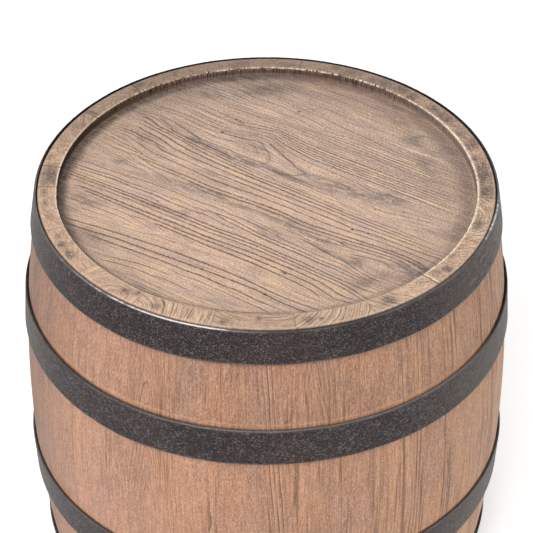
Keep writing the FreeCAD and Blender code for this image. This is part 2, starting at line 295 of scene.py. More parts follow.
def solid_grain(s, wl, pith, seed, cathedral=15.0, waviness=1.0):
    """Growth rings through a whole board. wl is the place in the board in mm:
    x across, y through the thickness, z along the grain. pith is the place of
    the tree's heart in x and y, and the ring spacing. Returns the ring line's
    darkness, pores, fibre and the grain coordinates."""
    x, y, z = s.split(wl)
    px, py, step = s.split(pith)
    zz = s.add(z, s.mul(seed, 517.0))
    xs = s.add(x, s.mul(seed, 91.0))
    big = s.noise(s.vec(s.mul(xs, 0.011), s.mul(y, 0.011), s.mul(zz, 0.0042)), 1.0, 1.0)
    mid = s.noise(s.vec(s.mul(xs, 0.055), s.mul(y, 0.05), s.mul(zz, 0.013)), 1.0, 2.0)
    fine = s.noise(s.vec(s.mul(xs, 0.35), s.mul(y, 0.35), s.mul(zz, 0.06)), 1.0, 2.0)
    dx, dy = s.sub(x, px), s.sub(y, py)
    rad = s.m("SQRT", s.add(s.mul(dx, dx), s.mul(dy, dy)))
    swell = s.remap(z, 545.0, 490.0, 18.0, cathedral * 2.0, "LINEAR")
    rad = s.add(rad, s.mul(s.sub(big, 0.5), swell))
    rad = s.add(rad, s.mul(s.sub(mid, 0.5), 5.0 * waviness))
    rad = s.add(rad, s.mul(s.sub(fine, 0.5), 1.3 * waviness))
    g = s.m("DIVIDE", rad, step)
    # uneven ring widths
    g = s.add(g, s.mul(s.m("SINE", s.add(s.mul(g, 1.37), seed)), 0.28))
    g = s.add(g, s.mul(s.m("SINE", s.mul(g, 0.61)), 0.35))
    ring = s.m("FLOOR", g)
    t = s.sub(g, ring)
    rnd = s.white(s.add(ring, s.mul(seed, 13.7)))
    width = s.remap(rnd, 0.0, 1.0, 0.16, 0.5, "LINEAR")
    tail = s.sub(1.0, s.remap(t, 0.03, s.add(width, 0.03)))
    lead = s.remap(t, 0.0, 0.03)
    line = s.mul(tail, lead)
    lead2 = s.remap(t, 0.93, 1.0)
    line = s.m("MAXIMUM", line, s.mul(lead2, 0.8))
    fade = s.noise(s.vec(s.mul(ring, 3.17), s.mul(xs, 0.008), s.mul(zz, 0.010)), 1.0, 1.0)
    fade = s.remap(fade, 0.32, 0.66, 0.12, 1.0)
    rnd2 = s.white(s.add(ring, s.add(s.mul(seed, 3.1), 40.3)))
    weight = s.mul(s.remap(rnd2, 0.0, 1.0, 0.22, 1.0, "LINEAR"), fade)
    pore = s.noise(s.vec(s.mul(xs, 1.15), s.mul(y, 1.15), s.mul(zz, 0.055)), 1.0, 1.5, 0.55)
    fibre = s.noise(s.vec(s.mul(xs, 0.62), s.mul(y, 0.62), s.mul(zz, 0.016)), 1.0, 3.0, 0.62)
    band = s.noise(s.vec(s.mul(rad, 0.42), s.mul(s.add(x, y), 0.045), s.mul(seed, 7.0)), 1.0, 2.0, 0.6)
    return line, weight, pore, fibre, xs, y, zz, band


# ======================================================== the wooden surfaces
def stave_material():
    s = Surface("stave_wood")
    wl, pith, seed = s.attr("wl", True), s.attr("pith", True), s.attr("seed")
    endg, wall, worn = s.attr("endg"), s.attr("wall"), s.attr("worn")
    stain, tone, rub = s.attr("stain"), s.attr("tone"), s.attr("rub")
    hoop_shade, seam = s.attr("hoop_shade"), s.attr("seam")
    figure, cool, olive = s.attr("figure"), s.attr("cool"), s.attr("olive")
    line, weight, pore, fibre, xs, y, zz, band = solid_grain(s, wl, pith, seed)
    lw = s.mul(line, weight)

    # broad shifts of colour along a stave
    broad = s.noise(s.vec(s.mul(xs, 0.022), s.mul(y, 0.02), s.mul(zz, 0.0065)), 1.0, 2.5)
    smoke = s.noise(s.vec(s.mul(xs, 0.030), s.mul(y, 0.02), s.mul(zz, 0.014)), 1.0, 3.0, 0.6)
    streak = s.noise(s.vec(s.mul(xs, 0.16), s.mul(y, 0.16), s.mul(zz, 0.0045)), 1.0, 3.0, 0.6)
    lines = s.noise(s.vec(s.mul(xs, 0.30), s.mul(y, 0.30), s.mul(zz, 0.0060)), 1.0, 1.5, 0.55)
    bunch = s.noise(s.vec(s.mul(xs, 0.035), s.mul(y, 0.03), s.mul(zz, 0.0050)), 1.0, 2.0)

    # outer side
    hair = s.noise(s.vec(s.mul(xs, 0.62), s.mul(y, 0.50), s.mul(zz, 0.035)), 1.0, 2.0, 0.7)
    fleck = s.noise(s.vec(s.mul(xs, 0.74), s.mul(y, 0.5), s.mul(zz, 0.30)), 1.0, 2.0, 0.7)
    tint = s.noise(s.vec(s.mul(xs, 0.030), s.mul(y, 0.03), s.mul(s.add(zz, 900.0), 0.012)), 1.0, 2.0)
    stripe = s.noise(s.vec(s.mul(xs, 0.070), s.mul(y, 0.06), s.mul(zz, 0.0030)), 1.0, 2.0, 0.6)
    ply, cast = s.attr("ply"), s.attr("cast")
    side = s.mix(s.remap(broad, 0.38, 0.62), srgb(186, 142, 117), srgb(204, 161, 134))
    side = s.mix(s.remap(tint, 0.50, 0.62, 0.0, 0.50), side, srgb(211, 156, 119))
    side = s.mix(s.remap(tint, 0.46, 0.36, 0.0, 0.60), side, srgb(180, 146, 134))
    side = s.mix(s.remap(stripe, 0.50, 0.64, 0.0, 0.36), side, srgb(172, 136, 118))
    side = s.mix(s.remap(stripe, 0.47, 0.36, 0.0, 0.36), side, srgb(216, 168, 136))
    side = s.mix(s.mul(s.m("MAXIMUM", cast, 0.0), 0.50), side, srgb(201, 167, 131))
    side = s.mix(s.mul(s.remap(stripe, 0.49, 0.60), s.mul(s.m("MAXIMUM", cast, 0.0), 0.34)), side, srgb(160, 132, 112))
    side = s.mix(s.mul(s.m("MAXIMUM", s.mul(cast, -1.0), 0.0), 0.50), side, srgb(196, 160, 145))
    side = s.mix(s.remap(streak, 0.50, 0.66, 0.0, 0.12), side, srgb(158, 122, 103))
    side = s.mix(s.remap(smoke, 0.53, 0.70, 0.0, 0.58), side, srgb(152, 128, 117))
    side = s.mix(s.remap(hair, 0.50, 0.62, 0.0, 0.32), side, srgb(146, 110, 91))
    side = s.mix(s.remap(hair, 0.48, 0.37, 0.0, 0.32), side, srgb(230, 190, 158))
    side = s.mix(s.remap(fleck, 0.53, 0.65, 0.0, 0.54), side, srgb(136, 104, 88))
    side = s.mix(s.remap(fleck, 0.47, 0.36, 0.0, 0.50), side, srgb(240, 204, 174))
    group = s.mul(s.remap(bunch, 0.45, 0.57, 0.08, 1.0), ply)
    dark = s.mul(s.remap(lines, 0.565, 0.625), group, clamp=True)
    side = s.mix(s.mul(dark, 0.62), side, srgb(116, 88, 72))
    lit = s.mul(s.remap(lines, 0.45, 0.37), group)
    side = s.mix(s.mul(lit, 0.24, clamp=True), side, srgb(236, 194, 156))
    side = s.mix(s.mul(lw, s.mul(group, 0.80), clamp=True), side, srgb(104, 79, 64))
    # the pointed arches of a flat-sawn stave
    arch_x, arch_step, arch = s.split(s.attr("arch", True))
    wx, wy, wz = s.split(wl)
    bend = s.noise(s.vec(s.mul(xs, 0.045), 0.0, s.mul(zz, 0.010)), 1.0, 2.0, 0.6)
    ax = s.mul(s.add(s.sub(wx, arch_x), s.mul(s.sub(bend, 0.5), 14.0)), 1 / 6.0)
    ax2 = s.add(1.0, s.mul(ax, ax))
    ga = s.m("DIVIDE", s.add(zz, s.mul(s.m("SQRT", ax2), 52.0)), arch_step)
    flank = s.m("DIVIDE", s.mul(s.mul(ax, ax), 75.0), ax2)
    apart = s.m("DIVIDE", arch_step, s.m("SQRT", s.add(1.0, flank)))
    near = s.m("FLOOR", s.add(ga, 0.5))
    away = s.mul(s.sub(ga, near), apart)
    pick = s.remap(s.white(s.add(near, 0.71)), 0.0, 1.0, 0.35, 1.0, "LINEAR")
    field = s.mul(gauss1(s, s.sub(wx, arch_x), 30.0), s.mul(arch, s.remap(s.noise(
        s.vec(0.0, s.mul(seed, 9.0), s.mul(zz, 0.008)), 1.0, 1.0), 0.36, 0.52, 0.25, 1.0)))
    side = s.mix(s.mul(field, 0.30, clamp=True), side, srgb(214, 170, 144))
    arches = s.mul(s.mul(gauss1(s, away, 0.75), pick), s.mul(field, s.remap(hair, 0.34, 0.56, 0.55, 1.1)))
    side = s.mix(s.mul(arches, 0.85, clamp=True), side, srgb(112, 84, 68))
    # a few open grain lines that run side by side down some staves
    comb_x, comb_lean, comb = s.split(s.attr("comb", True))
    cx = s.sub(s.sub(wx, comb_x), s.mul(s.sub(wz, 460.0), comb_lean))
    cx = s.add(cx, s.mul(s.sub(bend, 0.5), 5.0))
    cnear = s.m("FLOOR", s.add(s.mul(cx, 1 / 5.6), 0.5))
    cfar = s.sub(cx, s.mul(cnear, 5.6))
    cpick = s.remap(s.white(s.add(cnear, s.add(s.mul(seed, 2.3), 0.37))), 0.0, 1.0, 0.62, 1.0, "LINEAR")
    ccut = s.noise(s.vec(s.mul(cnear, 3.1), s.mul(seed, 5.0), s.mul(wz, 0.014)), 1.0, 1.5)
    cw = s.mul(s.mul(gauss1(s, cx, 12.0), comb), s.mul(cpick, s.remap(ccut, 0.36, 0.50, 0.50, 1.15)))
    side = s.mix(s.mul(s.mul(gauss1(s, s.sub(cfar, 1.7), 0.7), cw), 0.45, clamp=True), side, srgb(240, 198, 160))
    side = s.mix(s.mul(s.mul(gauss1(s, cfar, 0.68), cw), 0.95, clamp=True), side, srgb(104, 76, 62))
    dash = s.mul(s.remap(pore, 0.57, 0.68), s.add(0.30, s.mul(lw, 0.9)), clamp=True)
    side = s.mix(s.mul(dash, 0.66), side, srgb(84, 60, 50))
    side = s.mix(s.mul(rub, s.remap(fibre, 0.3, 0.6, 0.35, 1.0)), side, srgb(240, 190, 146))
    # painted shade along and under the hoops
    side = s.mix(s.mul(hoop_shade, 0.75), side, srgb(78, 60, 52))
    side = s.mix(1.0, side, (0.695, 0.62, 0.575, 1.0), "MULTIPLY")

    # end grain of the rim and foot
    grit = s.noise(s.vec(s.mul(xs, 0.52), s.mul(y, 0.42), s.mul(zz, 0.3)), 1.0, 3.0, 0.72)
    specks = s.noise(s.vec(s.mul(xs, 0.40), s.mul(y, 0.34), 3.3), 1.0, 2.0, 0.75)
    wide = s.noise(s.vec(s.mul(xs, 0.09), s.mul(y, 0.09), 6.1), 1.0, 2.0, 0.6)
    end = s.mix(s.remap(grit, 0.36, 0.62), srgb(170, 135, 114), srgb(208, 173, 146))
    end = s.mix(s.remap(wide, 0.46, 0.66, 0.0, 0.55), end, srgb(158, 133, 119))
    end = s.mix(s.mul(s.remap(band, 0.51, 0.62), s.add(0.15, s.mul(figure, 0.5))), end, srgb(126, 94, 77))
    end = s.mix(s.mul(s.remap(band, 0.48, 0.38), s.add(0.15, s.mul(figure, 0.5))), end, srgb(236, 206, 176))
    between = s.mul(s.sub(1.0, s.remap(line, 0.0, 0.5)), figure)
    end = s.mix(s.mul(between, 0.42), end, srgb(232, 206, 178))
    end = s.mix(s.mul(s.mul(lw, figure), 0.95), end, srgb(98, 70, 57))
    end = s.mix(s.mul(s.remap(pore, 0.60, 0.72), 0.35), end, srgb(112, 88, 74))
    end = s.mix(s.remap(specks, 0.57, 0.66, 0.0, 0.40), end, srgb(104, 80, 68))
    gritty = s.attr("gritty")
    stipple = s.noise(s.vec(s.mul(xs, 0.70), s.mul(y, 0.52), 9.4), 1.0, 2.0, 0.7)
    end = s.mix(s.mul(s.remap(stipple, 0.53, 0.62), s.mul(gritty, 0.62)), end, srgb(108, 82, 66))
    end = s.mix(s.mul(s.remap(stipple, 0.47, 0.38), s.mul(gritty, 0.52)), end, srgb(240, 212, 182))
    blot = s.noise(s.vec(s.mul(xs, 0.26), s.mul(y, 0.30), 0.7), 1.0, 4.0, 0.80)
    blotm = s.m("POWER", s.m("MAXIMUM", stain, 0.0), 0.55)
    fleck2 = s.noise(s.vec(s.mul(xs, 0.75), s.mul(y, 0.60), 4.4), 1.0, 2.0, 0.7)
    blotm = s.mul(blotm, s.remap(blot, 0.36, 0.58, 0.40, 1.30))
    blotm = s.mul(blotm, s.remap(fleck2, 0.40, 0.58, 0.60, 1.20), clamp=True)
    end = s.mix(s.mul(blotm, 0.92), end, srgb(88, 80, 79))
    end = s.mix(s.mul(cool, 0.40), end, srgb(146, 126, 120))

    # scorched wall above the head
    scor = s.noise(s.vec(s.mul(xs, 0.22), s.mul(y, 0.1), s.mul(zz, 0.09)), 1.0, 3.0, 0.6)
    tick = s.noise(s.vec(s.mul(xs, 0.75), 0.0, s.mul(zz, 0.05)), 1.0, 2.0, 0.6)
    z_true = s.split(wl)[2]
    foot = s.add(z_true, s.mul(s.sub(scor, 0.5), 5.0))
    foot = s.remap(foot, 543.5, 538.5)
    light = s.add(s.attr("walllight"), s.mul(s.sub(scor, 0.5), 0.9))
    light = s.m("ADD", light, s.mul(foot, 0.42), clamp=True)
    burnt = s.mix(light, srgb(78, 56, 48), srgb(142, 124, 114))
    burnt = s.mix(s.mul(olive, s.sub(1.0, s.mul(foot, 0.4))), burnt, srgb(92, 70, 50))
    ticks = s.sub(1.0, s.mul(foot, 0.6))
    burnt = s.mix(s.mul(s.remap(tick, 0.53, 0.61, 0.0, 0.95), ticks), burnt, srgb(38, 24, 19))
    crest = s.mul(s.remap(tick, 0.43, 0.35), s.remap(z_true, 544.0, 548.5))
    burnt = s.mix(s.mul(crest, 0.9), burnt, srgb(218, 188, 160))

    col = s.mix(endg, side, end)
    col = s.mix(wall, col, burnt)
    ragged = s.noise(s.vec(s.mul(xs, 0.45), s.mul(y, 0.45), s.mul(zz, 0.25)), 1.0, 2.0, 0.6)
    wmask = s.mul(worn, s.remap(ragged, 0.36, 0.52, 0.25, 1.30), clamp=True)
    col = s.mix(wmask, col, srgb(252, 233, 210))
    jag = s.noise(s.vec(s.mul(xs, 0.40), 2.0, s.mul(seed, 3.0)), 1.0, 2.5, 0.65)
    jag = s.mul(s.remap(jag, 0.49, 0.56), s.attr("jag"), clamp=True)
    col = s.mix(s.mul(jag, 0.95), col, srgb(50, 35, 29))
    col = s.mix(s.mul(seam, 0.75), col, srgb(66, 49, 41))
    col = s.scale_colour(col, tone)

    height = s.mul(lw, -0.16)
    height = s.add(height, s.mul(s.mul(dash, s.sub(1.0, endg)), -0.22))
    height = s.add(height, s.mul(fibre, 0.22))
    height = s.add(height, s.mul(s.mul(grit, endg), 0.50))
    height = s.add(height, s.mul(s.mul(specks, endg), 0.35))
    height = s.add(height, s.mul(s.mul(tick, wall), -0.8))
    rough = s.remap(fibre, 0.3, 0.7, 0.54, 0.70, "LINEAR")
    return s.finish(col, rough, s.bump(height, 0.9), 0.30)


def head_material():
    s = Surface("head_wood")
    g, sp = s.attr("ring"), s.attr("ringw")
    u, v, vp = s.split(s.attr("guv", True))
    smk, crm, wall_shade_grime_attr = s.attr("smoke"), s.attr("cream"), s.attr("glaze")
    dcr, dot, wgt = s.attr("crack"), s.attr("pin"), s.attr("lineweight")
    warm, tone, crw = s.attr("warm"), s.attr("tone"), s.attr("crackw")

    # ---- the main rings: a dark line with a pale edge on each side
    jit = s.noise(s.vec(s.mul(u, 0.26), s.mul(v, 0.26), 3.0), 1.0, 2.0, 0.6)
    jit = s.mul(s.sub(jit, 0.5), 2.4)
    bead = s.noise(s.vec(s.mul(u, 0.17), s.mul(v, 0.9), 9.0), 1.0, 2.0, 0.6)
    bead = s.remap(bead, 0.38, 0.58, 0.40, 1.0)
    main, rims, soft = None, None, None
    for i in range(3):
        d, p = s.add(s.attr("gap%d" % i), jit), s.attr("power%d" % i)
        width = s.remap(p, 0.25, 1.0, 0.76, 1.62, "LINEAR")
        q = s.m("DIVIDE", d, width)
        core = s.mul(s.m("EXPONENT", s.mul(s.mul(q, q), -1.0)), s.m("POWER", p, 0.55))
        e = s.mul(s.sub(s.m("ABSOLUTE", d), s.add(width, 0.95)), 1 / 0.70)
        side = s.mul(s.m("EXPONENT", s.mul(s.mul(e, e), -1.0)), p)
        wide_ = s.mul(gauss1(s, d, 2.4), p)
        main = core if main is None else s.m("MAXIMUM", main, core)
        rims = side if rims is None else s.m("MAXIMUM", rims, side)
        soft = wide_ if soft is None else s.m("MAXIMUM", soft, wide_)
    main = s.mul(main, bead)

    # ---- the fine rings between them
    wob = s.noise(s.vec(s.mul(u, 0.09), s.mul(v, 0.5), 3.0), 1.0, 2.0, 0.6)
    gg = s.add(g, s.m("DIVIDE", s.mul(s.sub(wob, 0.5), 1.1), sp))
    ring = s.m("FLOOR", gg)
    t = s.sub(gg, ring)
    off = s.mul(s.m("MINIMUM", t, s.sub(1.0, t)), sp)       # mm to the nearest one
    which = s.m("FLOOR", s.add(gg, 0.5))
    rnd = s.white(s.add(which, 0.37))
    nfade = s.noise(s.vec(s.mul(u, 0.016), s.mul(which, 2.31), 0.0), 1.0, 2.0)
    power = s.mul(s.remap(rnd, 0.0, 1.0, 0.50, 1.0, "LINEAR"), s.remap(nfade, 0.32, 0.60, 0.25, 1.0))
    power = s.mul(s.mul(power, wgt), s.sub(1.0, s.mul(soft, 1.1)), clamp=True)
    fine = s.mul(s.mul(gauss1(s, off, 0.85), power), bead)
    pale = s.remap(s.m("DIVIDE", off, sp), 0.24, 0.40)
    pbreak = s.noise(s.vec(s.mul(u, 0.022), s.mul(v, 0.30), 31.0), 1.0, 2.0, 0.6)
    pale = s.mul(s.mul(pale, s.remap(pbreak, 0.36, 0.60, 0.25, 1.05)), s.mul(crm, power), clamp=True)
    rims = s.mul(rims, s.sub(1.0, s.mul(main, 1.0)))

    fibre = s.noise(s.vec(s.mul(u, 0.025), s.mul(v, 0.85), 1.0), 1.0, 3.0, 0.62)
    fibre2 = s.noise(s.vec(s.mul(u, 0.05), s.mul(v, 0.22), 5.0), 1.0, 3.0, 0.6)
    grit = s.noise(s.vec(s.mul(u, 0.42), s.mul(vp, 0.72), 6.0), 1.0, 2.0, 0.7)
    pore = s.noise(s.vec(s.mul(u, 0.13), s.mul(v, 1.15), 7.0), 1.0, 1.5, 0.55)
    broad = s.noise(s.vec(s.mul(u, 0.0065), s.mul(v, 0.020), 2.0), 1.0, 2.0)
    haze = s.noise(s.vec(s.mul(u, 0.014), s.mul(vp, 0.040), 8.0), 1.0, 4.0, 0.62)
    cloudy = s.noise(s.vec(s.mul(u, 0.020), s.mul(vp, 0.030), 12.0), 1.0, 2.0, 0.5)

    mid = s.noise(s.vec(s.mul(u, 0.022), s.mul(v, 0.42), 16.0), 1.0, 2.0, 0.6)
    tint = s.noise(s.vec(s.mul(u, 0.018), s.mul(v, 0.05), 21.0), 1.0, 2.0, 0.6)
    tint2 = s.noise(s.vec(s.mul(u, 0.022), s.mul(v, 0.12), 23.0), 1.0, 2.0, 0.6)
    base = s.mix(s.remap(broad, 0.40, 0.60), srgb(204, 172, 150), srgb(216, 182, 158))
    base = s.mix(s.mul(warm, 0.75), base, srgb(224, 188, 148))
    base = s.mix(s.remap(tint, 0.49, 0.60, 0.0, 0.90), base, srgb(190, 161, 148))
    base = s.mix(s.remap(tint, 0.46, 0.36, 0.0, 0.90), base, srgb(233, 192, 148))
    base = s.mix(s.remap(tint2, 0.50, 0.64, 0.0, 0.50), base, srgb(186, 160, 148))
    base = s.mix(s.remap(tint2, 0.48, 0.36, 0.0, 0.50), base, srgb(232, 198, 164))
    base = s.mix(s.remap(mid, 0.52, 0.66, 0.0, 0.52), base, srgb(150, 119, 102))
    base = s.mix(s.remap(mid, 0.48, 0.36, 0.0, 0.52), base, srgb(242, 211, 185))
    base = s.mix(s.remap(cloudy, 0.48, 0.68, 0.0, 0.45), base, srgb(190, 154, 134))
    base = s.mix(s.remap(fibre2, 0.44, 0.70, 0.0, 0.60), base, srgb(166, 136, 124))
    base = s.mix(s.remap(fibre, 0.42, 0.66, 0.0, 0.55), base, srgb(232, 203, 176))
    base = s.mix(s.remap(haze, 0.52, 0.72, 0.0, 0.50), base, srgb(152, 134, 125))
    more = s.add(0.90, s.mul(crm, 0.85))
    base = s.mix(s.mul(s.remap(grit, 0.50, 0.64, 0.0, 0.50), more), base, srgb(136, 112, 101))
    base = s.mix(s.mul(s.remap(grit, 0.48, 0.36, 0.0, 0.50), more), base, srgb(244, 217, 194))
    base = s.mix(s.mul(pale, 1.0), base, srgb(252, 231, 208))
    base = s.mix(s.mul(rims, 0.72), base, srgb(250, 222, 190))
    ragged = s.noise(s.vec(s.mul(u, 0.055), s.mul(vp, 0.15), 4.0), 1.0, 4.0, 0.65)
    speck = s.noise(s.vec(s.mul(u, 0.50), s.mul(vp, 0.62), 14.0), 1.0, 1.0, 0.6)
    sm = s.mul(smk, s.remap(ragged, 0.36, 0.57, 0.15, 1.50))
    sm = s.mul(sm, s.remap(speck, 0.42, 0.58, 0.55, 1.20), clamp=True)
    base = s.mix(sm, base, srgb(124, 116, 109))
    base = s.mix(s.mul(soft, 0.22), base, srgb(150, 118, 102))
    base = s.mix(s.mul(fine, 0.92), base, srgb(80, 58, 49))
    base = s.mix(s.mul(main, 0.92), base, srgb(74, 52, 44))
    dash = s.mul(s.remap(pore, 0.60, 0.70), s.add(0.35, s.mul(main, 0.6)), clamp=True)
    base = s.mix(s.mul(dash, 0.50), base, srgb(92, 70, 60))
    cr = s.mul(gauss1(s, s.add(dcr, s.mul(jit, 0.4)), 0.80), crw)
    crs = s.mul(gauss1(s, dcr, 2.6), crw)
    base = s.mix(s.mul(crs, 0.30), base, srgb(128, 116, 110))
    base = s.mix(s.mul(cr, 0.70), base, srgb(82, 66, 60))
    hole = gauss1(s, dot, 1.0)
    base = s.mix(s.mul(hole, 0.92), base, srgb(46, 36, 32))
    # painted shade and grime against the wall, darkest at the left
    wall_shade_grime_mask = s.mul(wall_shade_grime_attr, s.remap(ragged, 0.25, 0.68, 0.80, 1.08))
    wall_shade_grime_mask = s.mul(wall_shade_grime_mask, s.remap(grit, 0.35, 0.65, 0.90, 1.08), clamp=True)
    base = s.mix(wall_shade_grime_mask, base, srgb(71, 61, 56))
    base = s.mix(1.0, base, (1.000, 0.990, 1.015, 1.0), "MULTIPLY")
    base = s.scale_colour(base, tone)

    height = s.mul(main, -0.42)
    height = s.add(height, s.mul(fine, -0.20))
    height = s.add(height, s.mul(dash, -0.18))
    height = s.add(height, s.mul(fibre, 0.22))
    height = s.add(height, s.mul(grit, 0.16))
    height = s.add(height, s.mul(cr, -0.5))
    height = s.add(height, s.mul(hole, -0.8))
    height = s.add(height, s.mul(rims, 0.10))
    rough = s.remap(fibre, 0.3, 0.7, 0.54, 0.68, "LINEAR")
    return s.finish(base, rough, s.bump(height, 0.9), 0.30)


def board_material():
    s = Surface("bottom_wood")
    wl, pith, seed = s.attr("wl", True), s.attr("pith", True), s.attr("seed")
    tone, seam = s.attr("tone"), s.attr("seam")
    line, weight, pore, fibre, xs, y, zz, _ = solid_grain(s, wl, pith, seed, 12.0)
    lw = s.mul(line, weight)
    broad = s.noise(s.vec(s.mul(xs, 0.020), s.mul(y, 0.02), s.mul(zz, 0.006)), 1.0, 2.0)
    saw = s.noise(s.vec(s.mul(xs, 0.02), s.mul(y, 0.02), s.mul(zz, 0.40)), 1.0, 1.0)
    base = s.mix(s.remap(broad, 0.36, 0.64), srgb(172, 141, 120), srgb(190, 158, 134))
    base = s.mix(s.remap(fibre, 0.38, 0.68, 0.0, 0.45), base, srgb(203, 172, 146))
    base = s.mix(s.mul(lw, 0.60), base, srgb(112, 86, 70))
    dash = s.mul(s.remap(pore, 0.57, 0.70), s.add(0.25, s.mul(lw, 0.9)), clamp=True)
    base = s.mix(s.mul(dash, 0.55), base, srgb(90, 68, 57))
    base = s.mix(s.mul(seam, 0.7), base, srgb(66, 52, 45))
    base = s.scale_colour(base, tone)
    height = s.add(s.mul(lw, -0.2), s.mul(dash, -0.2))
    height = s.add(height, s.add(s.mul(fibre, 0.25), s.mul(saw, 0.15)))
    rough = s.remap(fibre, 0.3, 0.7, 0.6, 0.75, "LINEAR")
    return s.finish(base, rough, s.bump(height, 0.9), 0.3)


def dowel_material():
    s = Surface("dowel_wood")
    x, y, z = s.split(s.place())
    x, y, z = s.mul(x, 1000.0), s.mul(y, 1000.0), s.mul(z, 1000.0)
    fibre = s.noise(s.vec(s.mul(x, 0.8), s.mul(y, 0.04), s.mul(z, 0.8)), 1.0, 3.0, 0.6)
    flute = s.noise(s.vec(s.mul(x, 1.6), s.mul(y, 0.01), s.mul(z, 1.6)), 1.0, 1.0)
    base = s.mix(s.remap(fibre, 0.35, 0.65), srgb(196, 166, 132), srgb(219, 193, 158))
    base = s.mix(s.remap(flute, 0.55, 0.66, 0.0, 0.5), base, srgb(150, 120, 92))
    height = s.add(s.mul(fibre, 0.2), s.mul(flute, 0.3))
    return s.finish(base, s.remap(fibre, 0.3, 0.7, 0.5, 0.66, "LINEAR"), s.bump(height, 0.8), 0.3)


# ======================================================== the metal surfaces
def metal_material(name, coarse=1.0):
    s = Surface(name)
    along, up, seed = s.split(s.attr("strip", True))
    edge, lid_highlight, matt_and_sheen = s.attr("edge"), s.attr("lid_highlight"), s.attr("matt_and_sheen")
    p = s.vec(along, up, s.mul(seed, 40.0))
    grain = s.noise(p, 0.62 * coarse, 3.0, 0.72)
    spots = s.noise(p, 0.52 * coarse, 1.5, 0.6)
    peen = s.cells(p, 0.34 * coarse, 1.0, "SMOOTH_F1")
    pit = s.cells(p, 0.55 * coarse, 1.0)
    patch = s.noise(p, 0.045, 3.0, 0.6)
    cloud = s.noise(p, 0.012, 2.0, 0.5)
    base = s.mix(s.remap(grain, 0.38, 0.62), srgb(14, 8, 9), srgb(45, 32, 32))
    base = s.mix(s.remap(patch, 0.40, 0.66, 0.0, 0.55), base, srgb(34, 26, 23))
    base = s.mix(s.remap(cloud, 0.42, 0.62, 0.0, 0.35), base, srgb(56, 43, 38))
    blotch = s.noise(p, 0.22, 2.0, 0.6)
    base = s.mix(s.remap(blotch, 0.52, 0.66, 0.0, 0.50), base, srgb(72, 57, 57))
    base = s.mix(s.remap(blotch, 0.46, 0.34, 0.0, 0.55), base, srgb(16, 10, 10))
    crowd = s.noise(p, 0.11, 2.0, 0.6)
    fleck = s.mul(s.remap(spots, 0.53, 0.60), s.remap(patch, 0.36, 0.62, 1.0, 0.60))
    fleck = s.mul(fleck, s.remap(crowd, 0.40, 0.58, 0.52, 1.12))
    fleck = s.mul(fleck, s.sub(1.0, matt_and_sheen), clamp=True)
    base = s.mix(s.mul(fleck, 0.47, clamp=True), base, srgb(132, 122, 122))
    # painted sheen: lighter olive grey round the sides of the strip
    side = s.mul(matt_and_sheen, s.remap(grain, 0.36, 0.56, 0.25, 1.0))
    base = s.mix(s.mul(side, 1.0, clamp=True), base, srgb(98, 88, 72))
    scuff = s.attr("scuff")
    scrape = s.noise(s.vec(s.mul(along, 0.06), s.mul(up, 0.15), s.add(s.mul(seed, 40.0), 5.0)), 1.0, 3.0, 0.7)
    base = s.mix(s.mul(s.remap(scrape, 0.51, 0.60), s.mul(scuff, 0.40)), base, srgb(136, 130, 120))
    base = s.mix(s.mul(s.remap(scrape, 0.48, 0.38), s.mul(scuff, 0.55)), base, srgb(22, 16, 16))
    rust = s.noise(p, 0.16, 4.0, 0.7)
    base = s.mix(s.remap(rust, 0.60, 0.74, 0.0, 0.35), base, srgb(82, 54, 41))
    base = s.mix(s.mul(edge, s.remap(grain, 0.3, 0.6, 0.4, 1.0)), base, srgb(112, 108, 106))
    # painted highlight on the strip's upper face: near white at the front left, dark at the back
    low = s.mix(s.remap(lid_highlight, 0.0, 0.5), srgb(14, 11, 10), srgb(113, 111, 112))
    upper_face_highlight = s.mix(s.remap(lid_highlight, 0.5, 1.0), low, srgb(250, 243, 242))
    face = s.attr("upface")
    base = s.mix(s.mul(face, s.remap(grain, 0.28, 0.46, 0.75, 1.0)), base, upper_face_highlight)
    height = s.mul(grain, 0.55)
    height = s.add(height, s.mul(spots, 0.30))
    height = s.add(height, s.mul(peen, 0.22))
    height = s.add(height, s.mul(s.remap(pit, 0.0, 0.35, -1.0, 0.0), 0.10))
    rough = s.remap(grain, 0.3, 0.7, 0.60, 0.44, "LINEAR")
    rough = s.m("SUBTRACT", rough, s.mul(edge, 0.10))
    dull = s.mul(face, s.remap(lid_highlight, 0.0, 0.4, 1.0, 0.3))
    rough = s.m("MAXIMUM", rough, s.mul(s.m("MAXIMUM", dull, matt_and_sheen), 0.85))
    return s.finish(base, rough, s.bump(height, 0.95), 0.36, 0.28)


def floor_material():
    s = Surface("floor")
    n = s.noise(s.place(), 3.0, 3.0, 0.5)
    base = s.mix(s.remap(n, 0.3, 0.7), srgb(246, 246, 245), srgb(250, 250, 249))
    s.finish(base, s.remap(n, 0.3, 0.7, 0.75, 0.85, "LINEAR"),
             s.bump(s.mul(n, 0.2), 0.3), 0.2)
    s.bsdf.inputs["Emission Color"].default_value = (1.0, 1.0, 1.0, 1.0)
    s.bsdf.inputs["Emission Strength"].default_value = 0.50
    return s.mat


STAVE_MAT = stave_material()
HEAD_MAT = head_material()
BOARD_MAT = board_material()
DOWEL_MAT = dowel_material()
HOOP_MAT = metal_material("hoop_metal")
RIVET_MAT = metal_material("rivet_metal", 1.3)


# =================================================================== the head
# Grain coordinates: u runs along the grain, v across it.
GRAIN = math.radians(-31.0)


def grain_uv(X, Y):
    c, s = math.cos(GRAIN), math.sin(GRAIN)
    return X * c + Y * s, -X * s + Y * c


